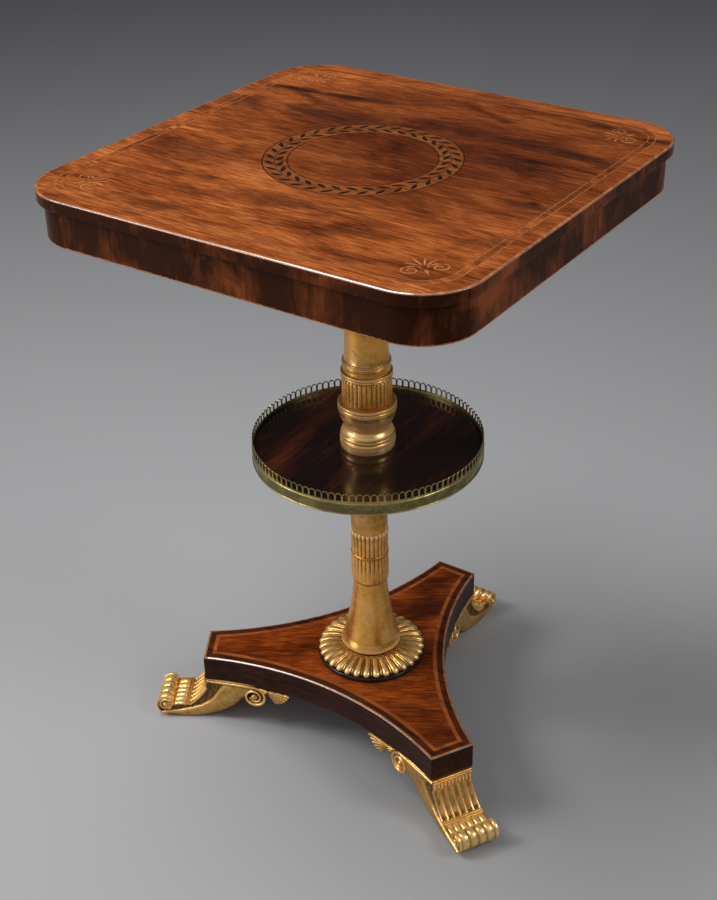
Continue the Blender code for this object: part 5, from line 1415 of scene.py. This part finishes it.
    def toe_face(self, foot, side):
        """The end of the toe roll: a button in a dished disc, and a strip that curls round it."""
        radii = np.array([0.0, 1.7, 2.9, 3.5, 4.1, 5.4, 7.4, 8.8, 9.4])
        lifts = np.array([2.4, 2.1, 1.3, 0.2, 0.0, 0.1, 0.2, 0.1, -0.9])
        # Marks: the button rubbed pale, the groove round it and the dished disc painted darker as shade.
        marks = np.array([-0.7, -0.7, 0.1, 0.9, 0.9, 0.7, 0.6, 0.6, 0.8])
        self.boss(foot, side, self.toe_at, radii, lifts, marks)
        t = np.linspace(0, 1, 40)
        path = about(self.toe_at, 8.3 - 3.9 * t, -120 - 470 * t)
        self.strip(foot, side, path, 1.25 - 0.35 * t, 1.9 + 0.3 * t)

    def scroll(self, foot, side):
        """The two mouldings under the platform. The lower one curls into the volute: a half-round strip
        along a level line and then a spiral whose radius falls evenly with its angle."""
        start = self.volute[1] - self.scroll_drop
        t = np.linspace(0, 1, 80)
        curl = about(self.volute_at, start + (self.volute_eye + 0.9 - start) * t, 90 + 360 * self.volute_turns * t)
        lead = np.stack([np.linspace(self.end - 0.5, self.volute_at[0] + 1.2, 14),
                         np.full(14, self.volute_at[1] + start)], axis=1)
        path = np.concatenate([lead, curl])
        width = np.concatenate([np.full(14, 1.7), 1.7 + 0.8 * smooth(0, 0.2, t) - 1.2 * t])
        self.strip(foot, side, path, width, np.concatenate([np.full(14, 2.2), 2.2 + 0.9 * np.sin(np.pi * t)]))
        upper = np.column_stack([np.linspace(self.end - 0.5, self.volute_at[0] + 6, 14), np.full(14, self.top - 1.9)])
        self.strip(foot, side, upper, np.full(14, 1.1), 1.6 - 0.8 * smooth(0.7, 1.0, np.linspace(0, 1, 14)))

    def strip(self, foot, side, path, half, lift):
        """A half-round strip laid on the foot's side along a path of (reach, height) places, closed at its
        start and open at its end."""
        over = directions(path)[1]
        a = np.linspace(0, math.pi, 9)
        offset = np.concatenate([np.cos(a), [-1.0, 1.0]])
        rise = np.concatenate([np.sin(a), [-1.4, -1.4]])
        places = path[:, None] + over[:, None] * (half[:, None] * offset)[..., None]
        y = side * (self.half_width(places[..., 0]) - 0.9 + lift[:, None] * rise)
        loops = np.stack([places[..., 0], y, places[..., 1]], axis=-1)
        # The strip is painted darker along its edges as shade where it meets the side, and pale on its crown as
        # rubbed gilt and painted highlight.
        marks = np.concatenate([1.2 * np.abs(np.cos(a)) ** 3 - 0.6, [0.8, 0.8]])
        foot.grid(capped(loops)[:-1], around=True, hollow=marks[None])

    def leaf(self, foot, side, root, length, turns, count):
        """A webbed fan of lobes from a root: its length falls from the first lobe to the last, and each
        lobe is rounded, ribbed and curls out at its tip."""
        a = np.linspace(0, 1, count * 12 + 1)[:, None]
        q = np.linspace(0, 1, 20)[None]
        g = lobes(a, count)
        g[-1] = 0.5
        lobe = dome(2.0 * g)
        reach = (length[0] + (length[1] - length[0]) * a) * (0.90 + 0.10 * lobe)
        turn = np.radians(turns[0] + (turns[1] - turns[0]) * a)
        r = self.end + root[0] + q * reach * np.cos(turn)
        z = np.minimum(self.top + root[1] + q * reach * np.sin(turn), self.top - 0.4)
        rib = near(g, 0.0, 0.10)
        lift = 0.6 + 1.7 * lobe * np.sqrt(q) + 0.5 * rib * q * (1 - q) * 2 + 1.3 * q ** 3 - 0.9 * (1 - lobe) * q
        edge = np.clip(np.minimum(a, 1 - a) / 0.03, 0, 1) * np.clip((1 - q) / 0.04, 0, 1)
        base = self.arm(r) - self.side_inset
        face = np.stack([r, side * (base + lift), z], axis=-1)
        back = np.stack([r, side * (base + lift - edge * (5.0 + lift)), z], axis=-1)
        # Painted shade: darker between the lobes and towards the root, and darker all over as shade under the
        # platform.
        shade_and_dirt = np.clip(1.3 * (1 - lobe) * np.sqrt(q) + 0.2 + 0.3 * (1 - q), 0, 1)
        loops = np.concatenate([face, back[:, ::-1]], axis=1)
        foot.grid(loops, around=True, hollow=np.concatenate([shade_and_dirt, shade_and_dirt[:, ::-1]], axis=1))


class TABLE_OT_carcass(bpy.types.Operator):
    """Gives the pieces inside the table their wood and iron"""

    bl_idname = "table.carcass"
    bl_label = "Carcass"

    def execute(self, context):
        screws = finish_named("screw_iron", iron)
        for name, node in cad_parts.items():
            if node.hide_render:
                continue
            finish = screws if "screw" in name else mahogany_finish()
            node.data.materials.clear()
            node.data.materials.append(finish)
        return {"FINISHED"}


class TABLE_OT_stage(bpy.types.Operator):
    """Lays the pale floor and sets the soft lights, the grey surround and the camera"""

    bl_idname = "table.stage"
    bl_label = "Stage"

    floor_half = 60.0
    camera_place = (0.8205, -1.2142, 1.2765)
    camera_azimuth = 34.72
    camera_elevation = 31.27
    camera_roll = -1.22
    aim = (0.0, 0.0, 0.4)
    bright_side = (0.10, -0.50, 0.86)
    surround_range = (0.20, 1.0, 0.04, 0.48)
    # Name, place, width, height and power of each light.
    lamps = (("front_light", (-1.5, -2.25, 0.45), 1.0, 0.8, 9.0),
             ("left_light", (-1.65, -1.30, 2.05), 0.9, 0.9, 31.0),
             ("overhead_light", (-0.63, -0.375, 2.73), 1.25, 1.05, 36.5),
             ("right_light", (2.0, 0.3, 2.0), 0.8, 0.8, 18.0))

    def execute(self, context):
        self.floor()
        self.lights()
        self.camera(context.scene.table_sizes.camera_lens)
        context.scene.view_settings.view_transform = "Standard"
        return {"FINISHED"}

    def floor(self):
        """A flat floor, pale round the table and darker far from it, a painted pool of light round the table."""
        half = self.floor_half
        mesh = bpy.data.meshes.new("studio_floor")
        mesh.from_pydata([(-half, -half, 0), (half, -half, 0), (half, half, 0), (-half, half, 0)], [], [(0, 1, 2, 3)])
        f = FinishNodes("studio_floor")
        pale = tone("floor")
        tint = f.ramp(f.grey(f.far(f.place), 0.5, 4.6), (0.0, pale), (0.22, shade(pale, 0.82)),
                      (1.0, tone("floor_far_shade")))
        mesh.materials.append(f.finish(Base_Color=tint, Roughness=0.75))
        floor = bpy.data.objects.new("studio_floor", mesh)
        bpy.context.scene.collection.objects.link(floor)

    def lights(self):
        """The main soft light almost overhead on the left, one half-way up on the left, a weak one from
        the right, a low one in front for the frieze and the gilding, and a surround that is bright overhead
        and dark at the horizon."""
        for name, place, wide, tall, power in self.lamps:
            lamp = bpy.data.lights.new(name, "AREA")
            lamp.shape = "RECTANGLE"
            lamp.size, lamp.size_y = wide, tall
            lamp.energy = power
            light = bpy.data.objects.new(name, lamp)
            light.location = place
            light.rotation_euler = (Vector(place) - Vector(self.aim)).to_track_quat("Z", "Y").to_euler()
            bpy.context.scene.collection.objects.link(light)
        world = bpy.data.worlds.new("studio_surround")
        world.use_nodes = True
        nodes, links = world.node_tree.nodes, world.node_tree.links
        surround = nodes["Background"]
        surround.inputs["Color"].default_value = (0.95, 0.97, 1.0, 1.0)
        towards = nodes.new("ShaderNodeVectorMath")
        towards.operation = "DOT_PRODUCT"
        towards.inputs[1].default_value = self.bright_side
        links.new(nodes.new("ShaderNodeTexCoord").outputs["Generated"], towards.inputs[0])
        strength = nodes.new("ShaderNodeMapRange")
        strength.interpolation_type = "SMOOTHSTEP"
        for socket, value in zip(strength.inputs[1:5], self.surround_range):
            socket.default_value = value
        links.new(towards.outputs["Value"], strength.inputs[0])
        links.new(strength.outputs[0], surround.inputs["Strength"])
        bpy.context.scene.world = world

    def camera(self, lens):
        """The camera on the photograph's side of the table."""
        a, e, roll = (math.radians(v) for v in (self.camera_azimuth, self.camera_elevation, self.camera_roll))
        right = Vector((math.cos(a), math.sin(a), 0))
        back = Vector((math.sin(a) * math.cos(e), -math.cos(a) * math.cos(e), math.sin(e)))
        up = back.cross(right)
        turned_right = math.cos(roll) * right + math.sin(roll) * up
        turned_up = -math.sin(roll) * right + math.cos(roll) * up
        data = bpy.data.cameras.new("photo_camera")
        data.lens = lens
        data.sensor_width = 36.0
        camera = bpy.data.objects.new("photo_camera", data)
        turn = Matrix((turned_right, turned_up, back)).transposed().to_4x4()
        camera.matrix_world = Matrix.Translation(self.camera_place) @ turn
        bpy.context.scene.collection.objects.link(camera)
        bpy.context.scene.camera = camera


class TABLE_PT_panel(bpy.types.Panel):
    """Lists the table's operators in the sidebar"""

    bl_idname = "TABLE_PT_panel"
    bl_label = "Two-tier table"
    bl_space_type = "VIEW_3D"
    bl_region_type = "UI"
    bl_category = "Table"

    def draw(self, context):
        for operator in OPERATORS:
            self.layout.operator(operator.bl_idname)
        for group in (context.scene.table_sizes, context.scene.table_colours):
            for key in group.bl_rna.properties.keys():
                if key not in ("rna_type", "name"):
                    self.layout.prop(group, key)


OPERATORS = (TABLE_OT_top, TABLE_OT_frieze, TABLE_OT_columns, TABLE_OT_shelf, TABLE_OT_platform, TABLE_OT_feet,
             TABLE_OT_carcass, TABLE_OT_stage)
CLASSES = (TableSizes, TableColours, *OPERATORS, TABLE_PT_panel)


def register():
    """Adds the classes and the table's settings to Blender."""
    for item in CLASSES:
        bpy.utils.register_class(item)
    bpy.types.Scene.table_sizes = PointerProperty(type=TableSizes)
    bpy.types.Scene.table_colours = PointerProperty(type=TableColours)


def unregister():
    """Takes the settings and the classes out again."""
    del bpy.types.Scene.table_colours
    del bpy.types.Scene.table_sizes
    for item in reversed(CLASSES):
        bpy.utils.unregister_class(item)


def main():
    """Makes the whole table and its stage."""
    register()
    bpy.ops.table.top()
    bpy.ops.table.frieze()
    bpy.ops.table.columns()
    bpy.ops.table.shelf()
    bpy.ops.table.platform()
    bpy.ops.table.feet()
    bpy.ops.table.carcass()
    bpy.ops.table.stage()
    bpy.context.view_layer.update()


if __name__ == "__main__":
    main()
